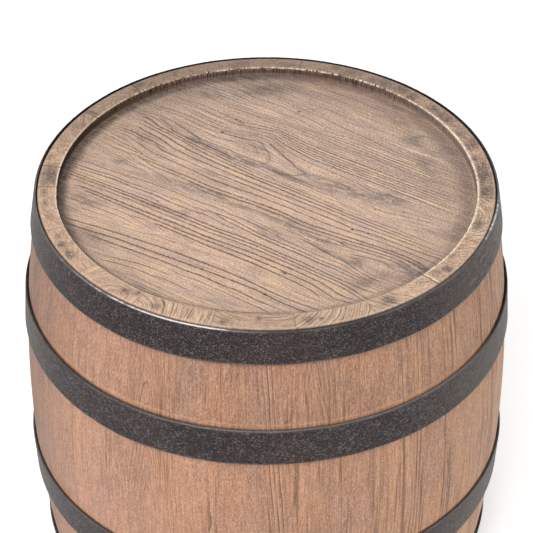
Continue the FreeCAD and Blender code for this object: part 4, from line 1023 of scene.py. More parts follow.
def head_marks(X, Y):
    u, v, w, g = ring_field(X, Y)
    e = 1.0
    c, s = math.cos(GRAIN), math.sin(GRAIN)
    g1, g0 = ring_field(X - e * s, Y + e * c)[3], ring_field(X + e * s, Y - e * c)[3]
    width = 2 * e / np.maximum(np.abs(g1 - g0), 2 * e / 40.0)
    smoke = np.zeros_like(X)
    for cx, cy, a, b, rot, wt in SMOKE:
        smoke = np.maximum(smoke, wt * blob(X, Y, cx, cy, a * 0.62, b * 0.62, rot))
    clean = np.zeros_like(X)
    for cx, cy, a, b, rot, wt in CLEAN:
        clean = np.maximum(clean, wt * blob(X, Y, cx, cy, a * 0.7, b * 0.7, rot))
    crack, crack_w = np.full(X.shape, 12.0), np.zeros(X.shape)
    for strength, line in CRACKS:
        for (x0, y0), (x1, y1) in zip(line[:-1], line[1:]):
            near = (np.abs(X - (x0 + x1) / 2) < abs(x1 - x0) / 2 + 12) & \
                   (np.abs(Y - (y0 + y1) / 2) < abs(y1 - y0) / 2 + 12)
            dx, dy = x1 - x0, y1 - y0
            t = np.clip(((X[near] - x0) * dx + (Y[near] - y0) * dy) / (dx * dx + dy * dy), 0, 1)
            d = np.hypot(X[near] - x0 - t * dx, Y[near] - y0 - t * dy)
            closer = d < crack[near]
            crack_w[near] = np.where(closer, strength, crack_w[near])
            crack[near] = np.minimum(crack[near], d)
    pin = np.full(X.shape, 8.0)
    for x, y, r in PINS:
        pin = np.minimum(pin, np.hypot(X - x, Y - y) / r)
    out = {}
    for i, rows in enumerate(CURVES):
        out["gap%d" % i], out["power%d" % i] = nearest_ring(u, v, rows)
    # how strong the fine rings between them are: clearest and cream-edged in the
    # upper right, faint in the lower left, gone in the smooth tongue
    upper = smooth(45, 85, v)
    weight = 0.42 + 0.58 * upper + 0.16 * smooth(-120, -160, v)
    weight *= 1 - 1.05 * np.minimum(clean, 0.95)
    weight *= 1 - blob(X, Y, 152, -150, 30, 24, -30)
    weight *= 1 - 0.45 * smooth(185, 240, v)
    weight *= 0.72 + 0.28 * smooth(-200, 60, u) * upper + 0.0 * u
    cream = (0.35 + 0.65 * upper) * smooth(255, 190, v)
    warm = smooth(-60, -170, v) * 0.9 + 0.45 * clean + 0.30 * smooth(70, 10, np.abs(v + 5)) \
        + 0.8 * blob(X, Y, -105, -150, 75, 30, -30)
    r, a = np.hypot(X, Y), np.degrees(np.arctan2(Y, X))
    d = np.maximum(257.5 - r, 0)
    # painted shade and grime against the wall: how dark and how far it reaches, by direction
    amp = np.interp(a, [-180, -150, -125, -105, -80, -50, -25, 0, 30, 60, 90, 120, 150, 180],
                    [.95, .78, .54, .42, .34, .34, .46, .54, .52, .56, .66, .76, .90, .95])
    reach = np.interp(a, [-180, -150, -125, -105, -80, -50, -25, 0, 30, 60, 90, 120, 150, 180],
                      [15, 14, 13, 12, 7, 9, 19, 26, 23, 16, 12, 13, 15, 15.0])
    reach = reach * (1 + 0.22 * noise2(a / 13, r * 0, 21) + 0.10 * noise2(a / 4, r * 0, 22))
    glaze = amp * smooth(1.45, 0.35, d / reach)
    glaze = glaze * (1 - 0.30 * smooth(4, 1, d) * smooth(-40, -15, a) * smooth(70, 40, a))
    far = np.interp(a, [-180, -120, -60, 0, 60, 120, 180], [.16, .14, .06, .16, .24, .30, .16])
    glaze = np.maximum(glaze, far * smooth(60, 8, d))
    # painted shade: the strip of shadow that shows just behind the front of the rim
    back = Y + np.sqrt(np.maximum(254.3 ** 2 - X ** 2, 0))
    glaze = np.maximum(glaze, 0.34 * smooth(22.5, 18.0, back) * smooth(235, 200, np.abs(X)) * (Y < 0))
    # the lines die out in the painted shade and grime on the right
    fade = 1 - 0.80 * smooth(44, 9, d) * smooth(-38, -12, a) * smooth(75, 50, a)
    weight = weight * fade
    for i in range(3):
        out["power%d" % i] = out["power%d" % i] * fade
    # painted light: a little lighter in the middle of the head and darker towards each edge, most towards the back and
    # the front
    tone = 1.0 + 0.035 * blob(X, Y, 0, 0, 110, 80) - 0.04 * smooth(40, 240, X) - 0.09 * smooth(40, 240, Y) - 0.05 * smooth(-60, -220, X) \
        - 0.075 * smooth(-60, -200, Y)
    out.update(ring=g, ringw=width, guv=np.stack([u, w, v], -1), smoke=smoke, cream=cream,
               crack=crack, crackw=crack_w, pin=pin, lineweight=np.clip(weight, 0, 1),
               warm=np.clip(warm, 0, 1), glaze=np.clip(glaze, 0, 1), tone=tone)
    return out


def build_head():
    N = 372
    t = np.linspace(-1, 1, N + 1)
    A, B = np.meshgrid(t, t)
    first = np.abs(A) >= np.abs(B)
    with np.errstate(divide="ignore", invalid="ignore"):
        ra = np.where(first, A, B)
        ph = np.where(first, (np.pi / 4) * (B / A), (np.pi / 2) - (np.pi / 4) * (A / B))
    ph = np.where(ra == 0, 0, ph)
    X, Y = 256.6 * ra * np.cos(ph), 256.6 * ra * np.sin(ph)
    # flat face with real relief: open grain, dents and a slight dish
    marks = head_marks(X, Y)
    groove = np.zeros_like(X)
    for i in range(3):
        groove = np.maximum(groove, marks["power%d" % i] * np.exp(-(marks["gap%d" % i] / 1.3) ** 2))
    wav = 0.5 + 0.5 * noise2(X / 60, Y / 48, 31)
    dent = np.maximum(0, noise2(X / 13, Y / 11, 32) - 0.45)
    Z = 538.0 - 0.03 - 0.30 * groove - 0.16 * wav - 0.40 * dent
    Z -= 0.40 * marks["crackw"] * np.exp(-(marks["crack"] / 1.2) ** 2)
    Z -= 0.5 * np.exp(-marks["pin"] ** 2)
    edge = smooth(252.5, 256.6, np.hypot(X, Y))
    Z -= 0.10 * edge
    n = N + 1
    co = [np.stack([X, Y, Z], -1).reshape(-1, 3)]
    quads = [grid_quads(n, n, flip=True)]
    idx = np.arange(n * n).reshape(n, n)
    rim = np.concatenate([idx[0, :-1], idx[:-1, -1], idx[-1, :0:-1], idx[:0:-1, 0]])
    bx, by = X.ravel()[rim], Y.ravel()[rim]
    br = np.hypot(bx, by)
    cx, cy = bx / br, by / br
    # down the edge, into the groove and along the hidden bevel
    rings = [(257.6, 537.86), (258.75, 537.74), (258.8, 537.05), (263.9, 536.78), (264.1, 536.5), (264.1, 533.6),
             (263.9, 533.45), (257.6, 533.1), (252.0, 525.3), (246.7, 518.0), (220, 518.0),
             (150, 518.0), (80, 518.0), (20, 518.0)]
    last, total, m = rim, n * n, len(rim)
    for r, z in rings:
        co.append(np.stack([cx * r, cy * r, np.full(m, z)], -1))
        here = total + np.arange(m)
        quads.append(np.stack([last, here, np.roll(here, -1), np.roll(last, -1)], -1)[:, ::1])
        last, total = here, total + m
    co.append(np.array([[0, 0, 518.0]]))
    fan = np.stack([last, np.full(m, total), np.roll(last, -1)], -1)
    co = np.concatenate(co)
    at = head_marks(co[:, 0], co[:, 1])
    under = co[:, 2] < 530
    for key in ("smoke", "glaze", "cream", "power0", "power1", "power2", "crackw"):
        at[key] = np.where(under, 0.1, at[key])
    ob = make_mesh("head_panel", co, [np.concatenate(quads), fan], at, HEAD_MAT)
    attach(ob, "root")
    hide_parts("top_head_panel")
    return ob


# ================================================================== the staves
RIM_STAINS = [  # angle, radius, half width (mm along), half width across, weight
    (176, 268, 16, 9, .75), (-176.5, 272, 7, 3, .4), (-172, 272, 6, 3, .35),
    (-166, 270, 8, 4, .2), (-153.5, 272, 5, 5, .8), (-149, 272.5, 7, 5, .7),
    (-157, 270, 4, 4, .4), (-128, 267, 5, 4, .7), (-125, 262, 3, 4, .6),
    (-118.5, 271, 5, 4, .35), (-100.5, 272, 4, 4, .55), (-92, 262, 2.5, 3, .5),
    (-79.5, 268, 5.5, 4.5, .9), (-76.5, 269, 3, 3, .5), (-58, 268, 7, 6, .6),
    (-38.5, 271, 5, 5, .9), (-41, 266, 4, 4, .35), (-33, 262, 4, 3, .4),
    (-17.5, 267, 7, 5, .85), (-14.5, 264, 3, 2, .3), (-3.2, 269, 10, 9, .9),
    (4.0, 266, 17, 8, .9), (9, 272, 8, 4, .5), (12, 264.5, 4, 4, .7), (17.5, 263, 6, 4, .6),
    (18.5, 273, 8, 6, .65), (24, 267, 7, 6, .45), (32.5, 269, 10, 6, .8), (37.5, 268, 6, 5, .7),
    (45.5, 266, 5, 7, .7), (50, 270, 8, 6, .9), (55, 268, 9, 7, .65), (59, 266, 5, 6, .5),
    (66, 270, 9, 6, .4), (70.5, 274, 6, 4, .6),
    (84, 266, 9, 4, .25), (98, 268, 9, 6, .25), (116, 270, 5, 5, .3), (127, 273, 6, 4, .9),
    (129.5, 266, 3, 4, .5), (145, 268, 2.5, 7, .8), (152, 266, 5, 4, .3), (168, 275, 5, 2, .4)]

# where the heart of the tree lies for each stave (mm across, mm from its inner
# face outwards) and the ring width
PITH = {1: (-40, -90, 2.6), 2: (55, -120, 2.8), 3: (14, 21, 3.4), 4: (-46, 25, 2.9),
        5: (20, -160, 3.6), 6: (-84, -62, 3.3), 7: (78, -78, 5.4), 8: (-60, 70, 3.2),
        9: (6, -7, 3.0), 10: (60, -70, 2.6), 11: (-30, -110, 2.5), 12: (40, -150, 2.9),
        13: (-75, -80, 2.7), 14: (15, -60, 3.1), 15: (-50, -140, 3.0), 16: (70, -75, 2.6),
        17: (-20, -130, 2.8), 18: (45, -95, 3.0), 19: (-65, -70, 2.7), 20: (90, -60, 3.1),
        21: (-35, -120, 2.9)}
TONE = {1: 1.0, 2: .98, 3: 1.03, 4: 1.01, 5: .985, 6: 1.0, 7: 1.025, 8: .985, 9: 1.01,
        10: .99, 11: 1.02, 12: .97, 13: 1.0, 14: .98, 15: 1.01, 16: .97, 17: .99,
        18: 1.0, 19: .98, 20: 1.02, 21: .97}
# how clear the rings are on each stave's end
FIGURE = {1: .35, 2: .35, 3: .40, 4: .95, 5: .50, 6: 1.0, 7: .75, 8: .55, 9: .95, 10: .35,
          11: .40, 12: .45, 13: .45, 14: .45, 15: .45, 16: .65, 17: .45, 18: .45, 19: .45,
          20: .40, 21: .40}
# how strong the grain lines are on each stave's side, and its cast: below zero
# pink, above it beige
PLY = {1: .55, 2: .45, 3: .60, 4: .85, 5: .90, 6: 1.1, 7: 1.2, 8: 1.5, 9: 2.1, 10: 1.8}
CAST = {1: -.9, 2: -1.0, 3: -.8, 4: -.35, 5: -.2, 6: .2, 7: .4, 8: .9, 9: 1.2, 10: 1.2}
# staves sawn flat: where across them the arches of the grain stand, how far the
# tips lie apart, mm, and how strong they are
ARCH = {2: (12, 40, .5), 4: (-27, 31, .95), 6: (-30, 34, .85), 11: (4, 36, .9), 13: (-14, 30, .8),
        16: (10, 38, .9), 19: (-6, 33, .8), 21: (8, 36, .6)}
# open grain lines: place across the stave at mid height of the upper band, lean, strength
COMB = {4: (-2, -.05, .45), 5: (18.5, -.068, 1.1), 7: (6, .02, .55), 9: (8, .03, .5), 12: (-12, .04, .7),
        15: (20, -.03, .7), 18: (-20, .05, .6), 20: (15, -.04, .7)}
# by direction: the inner edge of the rim, mm, how light the rim and the wall are,
# and the painted light on the outer side
EDGE_R = ([-180, -170, -160, -150, -140, -130, -120, -75, -60, -45, -30, -20, -10, 60, 90,
           130, 150, 170, 180],
          [257, 257.6, 257, 256, 255.8, 254.6, 254.3, 254.3, 255.4, 255.5, 257, 257.7, 258.2,
           258.2, 258.4, 258.4, 258.4, 257.5, 257])
RIM_TONE = ([-180, -150, -120, -90, -70, -45, -20, 0, 30, 60, 90, 120, 150, 170, 180],
            [1.10, 1.08, .98, .86, .92, .99, 1.04, 1.03, .99, .90, .80, .79, .88, 1.02, 1.10])
WALL_TONE = ([-180, -150, -60, 0, 30, 60, 80, 110, 130, 150, 170, 180],
             [.47, .50, 1.0, 1.20, 1.24, 1.32, 1.50, 1.40, 1.06, .70, .50, .47])
SIDE_PAINTED_LIGHT = ([-180, -165, -150, -141, -130, -90, -50, -20, 0, 90, 180],
             [.80, .80, 1.03, 1.15, 1.13, 1.0, 1.05, 1.18, 1.22, 1.0, .80])
GRITTY = ([-180, -140, -90, -55, -25, 40, 90, 140, 180], [.45, .15, 0, .25, 1.1, 1.15, .85, .80, .45])
# how far the arris at each joint is worn away, mm
JOINT_EASE = {0: 0.55, 1: 0.35, 2: 0.40, 3: 0.25, 4: 0.25, 5: 0.3, 6: 0.35, 7: 0.95, 8: 0.25,
              9: 0.5, 10: 0.35, 11: 0.3, 12: 0.45, 13: 0.35, 14: 0.5, 15: 0.4, 16: 0.5,
              17: 0.55, 18: 0.55, 19: 0.3, 20: 0.8}


def stave_section():
    """(r, z, normal r, normal z, zone) around a stave's section. Zones: 0 outer
    side, 1 rim or foot, 2 wall past the head, 3 hidden, 4 outer corner, 5 inner
    corner."""
    pts = []
    rows = set(np.linspace(2.4, 547.6, 132))
    for z0 in (413.2, 186.4):              # closer rows where a hoop has rubbed
        rows |= set(z0 + np.arange(1.0, 10.0, 1.0))
    for z in sorted(rows):
        pts.append((float(wood_r(z)), z, 0))
    upper = [(280.62, 548.7, 4), (279.9, 549.45, 4), (279.1, 549.85, 4), (278.3, 550.0, 1)]
    upper += [(r, 550.0, 1) for r in np.linspace(277.3, 260.2, 18)]
    upper += [(259.2, 550.0, 5), (258.7, 549.85, 5), (258.2, 549.45, 5), (258.0, 548.8, 5)]
    upper += [(258.0, z, 2) for z in np.linspace(547.6, 537.5, 9)]
    upper += [(264.5, 537.0, 3), (264.5, 533.0, 3), (float(inner_r(532.5)), 532.5, 3)]
    pts += upper
    for z in np.linspace(510, 40, 20):
        pts.append((float(inner_r(z)), z, 3))
    pts += [(r, H - z, k) for r, z, k in upper[::-1]]
    arr = np.array([(r, z) for r, z, _ in pts])
    zone = np.array([k for _, _, k in pts])
    nxt, prv = np.roll(arr, -1, 0), np.roll(arr, 1, 0)
    tan = nxt - prv
    tan /= np.maximum(np.hypot(tan[:, 0], tan[:, 1])[:, None], 1e-9)
    nor = np.stack([tan[:, 1], -tan[:, 0]], -1)
    return arr, nor, zone


SECTION, SNORMAL, ZONE = stave_section()


def build_stave(k):
    a0, a1 = JOINTS[k], (JOINTS[k + 1] if k + 1 < len(JOINTS) else JOINTS[0] + 360.0)
    mid = (a0 + a1) / 2
    L = math.radians(a1 - a0) * 268.0
    n = int(round((L - 3.0) / 1.15))
    s = np.concatenate([[0.02, 0.30, 0.8], np.linspace(1.7, L - 1.7, n), [L - 0.8, L - 0.30, L - 0.02]])
    ang = a0 + np.degrees(s / 268.0)
    e0, e1 = JOINT_EASE[k], JOINT_EASE[(k + 1) % len(JOINTS)]
    m = len(SECTION)
    S, _ = np.meshgrid(s, np.arange(m), indexing="ij")
    R = np.broadcast_to(SECTION[:, 0], S.shape).copy()
    Z = np.broadcast_to(SECTION[:, 1], S.shape).copy()
    NR = np.broadcast_to(SNORMAL[:, 0], S.shape)
    NZ = np.broadcast_to(SNORMAL[:, 1], S.shape)
    zone = np.broadcast_to(ZONE, S.shape)
    A = np.broadcast_to(ang[:, None], S.shape)
    arc = np.radians(A) * 268.0
    top = Z > H / 2

    # the rim's inner edge wanders
    am = wrap(A)
    inward = np.interp(am, *EDGE_R) - 258.0
    share = np.clip((280.7 - R) / 22.7, 0, 1)
    share = np.where(zone == 2, smooth(538.0, 549.0, Z), share)
    R += np.where(np.isin(zone, (1, 2, 5)) & top, inward * share, 0)

    # the arris along each joint, worn round
    from0, from1 = S, L - S
    ease = e0 * np.exp(-(from0 / 0.75) ** 1.5) + e1 * np.exp(-(from1 / 0.75) ** 1.5)
    lip = np.isin(zone, (1, 5))
    ease = ease * np.where(lip, 1.0, 0.45) * np.where(zone == 3, 0.0, 1.0)
    R -= NR * ease
    Z -= NZ * ease

    # slightly uneven outer side, only ever inwards
    side = zone == 0
    und = 0.5 + 0.5 * noise2(arc / 46, Z / 170, 41)
    rip = np.abs(noise2(arc / 8.5, Z / 80, 42))
    R -= np.where(side | (zone == 4), 0.03 + 0.22 * und + 0.12 * rip, 0)

    # rim and foot: each stave ends at its own height, with a worn face
    low = 0.28 * hash01(k, 3, 9) + 0.02
    face = low + 0.20 * (0.5 + 0.5 * noise2(arc / 26, R / 14, 43)) \
        + 0.14 * np.maximum(0, noise2(arc / 4.3, R / 3.7, 44))
    tilt = (hash01(k, 5, 9) - 0.5) * 0.22 * (S / L - 0.5) * 2
    drop = np.where(np.isin(zone, (1, 4, 5)), face + tilt + 0.11, 0)
    drop = drop * np.where(zone == 4, 0.6, 1.0)
    Z += np.where(top, -drop, drop)

    # chips out of the inner corner, and chisel ticks down the wall at the back
    backness = smooth(20, 62, am) * smooth(152, 118, am)
    right = smooth(-50, -30, am) * smooth(70, 40, am)
    amount = 0.30 + 1.75 * backness + 1.4 * np.exp(-((am - 114) / 11.0) ** 2) + 0.40 * right + 0.30 * smooth(146, 178, np.abs(am))
    chip = np.maximum(0, noise2(arc / 7.5, 3.3 + 0 * arc, 45) - 0.12) * 1.7 \
        + np.maximum(0, noise2(arc / 2.9, 8.1 + 0 * arc, 46) - 0.05) * 0.9
    chip = chip * amount
    low_chip = np.maximum(0, noise2(arc / 6.0, 5.5 + 0 * arc, 47) - 0.2) * 0.8
    chip = np.where(top, chip, low_chip)
    d_in = np.hypot(R - 258.4 - np.where(top, inward, 0), np.where(top, H - Z, Z) - 0.6)
    bite = np.exp(-(d_in / 1.9) ** 2) * np.isin(zone, (1, 2, 5))
    R += chip * bite * 0.85
    Z += np.where(top, -1, 1) * chip * bite * 0.75
    tick = np.maximum(0, noise2(arc / 2.1, Z / 16, 48) - 0.05) * (0.20 + 1.5 * backness)
    long_ = 0.5 + 0.5 * noise2(arc / 14, Z / 30, 49)
    wallz = (zone == 2)
    into = (tick + 0.25 * long_ + 0.05) * smooth(537.4, 539.5, np.where(top, Z, H - Z))
    R += np.where(wallz, into, 0)

    # bigger splits at a few joints of the inner corner
    for jk, e, frm in ((k, e0, from0), ((k + 1) % len(JOINTS), e1, from1)):
        if jk in (17, 18, 13, 12, 15, 16, 0, 20, 7):
            w = 1.1 if jk in (17, 18) else 0.6
            notch = np.exp(-(frm / 1.5) ** 2) * np.exp(-(d_in / 4.5) ** 2)
            notch = notch * np.isin(zone, (1, 2, 5)) * top
            R += 0.9 * w * notch
            Z -= 0.7 * w * notch

    co = np.stack([R * np.cos(np.radians(A)), R * np.sin(np.radians(A)), Z], -1)

    # ---- marks the material reads
    zt = np.where(top, Z, H - Z)
    endg = np.where(zone == 1, 1.0, np.where(zone == 5, 0.85, np.where(zone == 4, 0.55, 0.0)))
    wall = np.where(zone == 2, 1.0, np.where(zone == 3, 0.9, 0.0))
    wall = wall * smooth(549.4, 547.2, np.where(zone == 3, 540.0, zt))
    worn = np.exp(-(d_in / (1.15 + 0.85 * smooth(-52, -42, am) * smooth(50, 20, am))) ** 2) \
        * np.isin(zone, (1, 2, 5))
    wornmap = 0.46 + 0.56 * smooth(-48, -42, am) * smooth(66, 45, am) \
        + 0.40 * backness + 0.30 * smooth(150, 170, np.abs(am)) \
        + 0.10 * smooth(-60, -75, am) * smooth(-150, -130, am) \
        - 0.70 * np.exp(-((am - 115) / 8.0) ** 2)
    gaps = smooth(-0.25, 0.15, noise2(arc / 7.5, 6.6 + 0 * arc, 56))
    worn = worn * np.clip(wornmap, 0, 1) * np.where(top, 1.0, 0.45) * (1 - 0.75 * backness * (1 - gaps))
    # bright worn edge beside the open joint
    if k == 7:
        worn = np.maximum(worn, 0.75 * np.exp(-((from0 - 1.6) / 1.1) ** 2) * (zone == 1) * top)
    worn = np.maximum(worn, 0.22 * np.exp(-((R - 279.2) / 0.9) ** 2) * np.isin(zone, (1, 4)))
    torn = 0.6 + 0.9 * np.maximum(0, noise2(arc / 6.0, 7.7 + 0 * arc, 57)) \
        + 1.1 * np.maximum(0, noise2(arc / 2.4, 9.9 + 0 * arc, 58))
    jag = backness * smooth(torn + 1.7, torn + 0.3, R - 258.6) * np.isin(zone, (1, 5)) * top \
        * smooth(0.10, 0.45, noise2(arc / 24, 4.4 + 0 * arc, 59) + 0.30 + 0.35 * smooth(92, 118, am))
    stain = np.zeros_like(R)
    for sa, sr, hw, hr, w in RIM_STAINS:
        if -20 < sa < 62:
            hw, hr = hw * 1.15, hr * 1.12
        da = np.radians(wrap(A - sa)) * 268.0
        stain = np.maximum(stain, w * np.exp(-0.9 * ((da / hw) ** 2 + ((R - sr) / hr) ** 2) ** 1.2))
    foot = np.maximum(0, noise2(arc / 21, R / 12, 50) - 0.15) * 1.2
    stain = np.where(zone == 3, 0, np.where(top, stain, foot))
    stain = np.where(np.isin(zone, (1, 4, 5)), stain, 0)
    backdark = 0.5 + 0.5 * np.sin(np.radians(am))
    tone = np.full_like(R, TONE[k + 1])
    tone = tone * np.where(endg > 0.5, np.interp(am, *RIM_TONE), 1.0)
    # painted light on the outer side, by direction: darkest round the far left, lightest at the right, and lighter
    # below 380 mm
    tone = tone * np.where(side, np.interp(am, *SIDE_PAINTED_LIGHT) * np.where(Z < 380, 1.09, 1.0), 1.0)
    for z0 in (413.2, 186.4):  # rubbed lighter just above a strip
        tone = tone * np.where(side & (Z > z0 - 0.5), 1 + 0.34 * np.exp(-np.maximum(Z - z0, 0) / 2.6), 1.0)
    tone = tone * np.where(zone == 2, np.interp(am, *WALL_TONE), 1.0)
    tone = tone * np.where(zone == 3, 0.75, 1.0)
    cool = np.where(top, 0.9 * smooth(0.55, 1.0, backdark), 0.1)
    olive = smooth(112, 126, am) * smooth(176, 160, am)
    walllight = np.interp(am, [-180, -150, -100, -50, -20, 0, 30, 50, 70, 110, 130, 160, 180],
                          [.10, .10, .35, .50, .75, .90, .85, .45, .14, .12, .05, .05, .10])
    rub = np.zeros_like(R)
    fuzz = noise2(arc / 30, 0 * arc, 51)
    for z0, amt in ((413.2, 0.62), (186.4, 0.45)):
        rise = 5.6 + 0.9 * fuzz + 0.5 * noise2(arc / 5, 0 * arc, 54)
        rub += amt * 0.14 * smooth(rise, rise - 1.4, Z - z0) * (Z > z0)
        rub += amt * 1.25 * np.exp(-((Z - z0 - rise + 0.5) / 0.9) ** 2) \
            * smooth(-0.45, 0.15, noise2(arc / 9, 0 * arc, 55)) * smooth(-0.9, 0.1, noise2(arc / 60, 1 + 0 * arc, 52))
    fleck = np.maximum(0, noise2(arc / 9.0, 2.2 + 0 * arc, 53) - 0.1) * 2.2
    rub += np.exp(-((Z - 503.6) / 1.0) ** 2) * fleck * (0.50 + 0.75 * smooth(-80, -110, am) * smooth(-165, -140, am))
    rub = np.where(side, np.clip(rub, 0, 1), 0)
    # painted shade: dark bands along the hoops' edges, and darker wood under the hoops
    hoop_shade = np.zeros_like(R)
    for hz, reach in ((504.7, 0.9), (413.2, 0.05), (363.6, 1.1), (186.4, 0.05), (136.8, 1.2), (45.3, 0.3)):
        hoop_shade = np.maximum(hoop_shade, np.exp(-(np.abs(Z - hz) / reach) ** 1.5))
    covered = np.zeros_like(R)
    for hi, lo, _, _ in HOOPS.values():
        covered = np.maximum(covered, ((Z < hi) & (Z > lo)).astype(float) * 0.6)
    hoop_shade = np.where(side | (zone == 4), np.maximum(hoop_shade * 0.8, covered), 0)
    strong = {0: .9, 7: 1.0, 20: .95, 9: .6, 1: .45, 2: .5, 17: .85, 18: .85, 14: .40, 12: .42,
              13: .40, 15: .25, 16: .25, 8: .45, 10: .4}
    j0, j1 = strong.get(k, 0.32), strong.get((k + 1) % len(JOINTS), 0.32)
    seam = j0 * np.exp(-(from0 / 0.85) ** 2) + j1 * np.exp(-(from1 / 0.85) ** 2)
    seam = seam * np.where(side, 0.55, 1.0)
    x = np.radians(A - mid) * R
    depth = R - inner_r(np.clip(Z, 0, H))
    wl = np.stack([x, depth, Z], -1)
    px, py, step = PITH[k + 1]
    cols = len(s)
    ones = np.ones_like(R)
    attrs = dict(wl=wl.reshape(-1, 3), pith=np.stack([px * ones, py * ones, step * ones], -1).reshape(-1, 3),
                 seed=(ones * (k + 1) * 0.731).ravel(), endg=endg.ravel(), wall=wall.ravel(),
                 worn=worn.ravel(), stain=stain.ravel(), tone=tone.ravel(), rub=rub.ravel(),
                 hoop_shade=hoop_shade.ravel(), seam=np.clip(seam, 0, 1).ravel(), cool=cool.ravel(),
                 olive=olive.ravel(), walllight=walllight.ravel(), jag=jag.ravel(),
                 gritty=np.interp(am, *GRITTY).ravel(),
                 arch=np.stack([q * ones for q in ARCH.get(k + 1, (0, 30, 0))], -1).reshape(-1, 3),
                 comb=np.stack([q * ones for q in COMB.get(k + 1, (0, 0, 0))], -1).reshape(-1, 3),
                 ply=(ones * PLY.get(k + 1, 0.9)).ravel(), cast=(ones * CAST.get(k + 1, 0.1)).ravel(),
                 figure=(ones * FIGURE[k + 1]).ravel())
    quads = grid_quads(cols, m, close_cols=True)
    caps = [np.arange(m)[None, :], ((cols - 1) * m + np.arange(m)[::-1])[None, :]]
    ob = make_mesh("barrel_stave_%02d" % (k + 1), co.reshape(-1, 3), [quads] + caps, attrs, STAVE_MAT)
    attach(ob, "root")
    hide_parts("stave_%02d" % (k + 1))
    return ob


# =================================================================== the hoops
def hoop_line(name):
    """Inner face of the strip: (r, z) at its low and top edges."""
    top, low, upper, lap = HOOPS[name]
    g_top, g_low = (1.1, 0.55) if upper else (0.55, 1.1)
    return (float(wood_r(low)) + g_low, low), (float(wood_r(top)) + g_top, top)


def sag(name, ang):
    """How far a hoop's two edges hang off their true height, mm."""
    d = np.exp(-(wrap(ang + 121.0) / 24.0) ** 2)
    if name == "upper_bilge_hoop":
        return -2.6 * d, -2.4 * d
    if name == "upper_chime_hoop":
        return -0.8 * d, -2.0 * d
    return 0 * d, 0 * d


# painted highlight on a strip's upper face
LID_HIGHLIGHT = {  # how bright a strip's upper face is, by direction
    "upper_chime_hoop": (
        [-180, -150, -140, -125, -112, -103, -97, -90, -70, -55, -45, -30, -15, 0, 30, 45, 135,
         150, 165, 175, 180],
        [.50, .50, .60, .80, 1.0, 1.0, .5, .22, .18, .30, .34, .30, .85, .45, .10, .03, .03,
         .05, .15, .40, .50]),
    "upper_bilge_hoop": (
        [-180, -135, -122, -105, -85, -60, -42, -30, -20, 180],
        [.20, .24, .40, .55, .50, .48, .50, .38, .16, .10]),
}


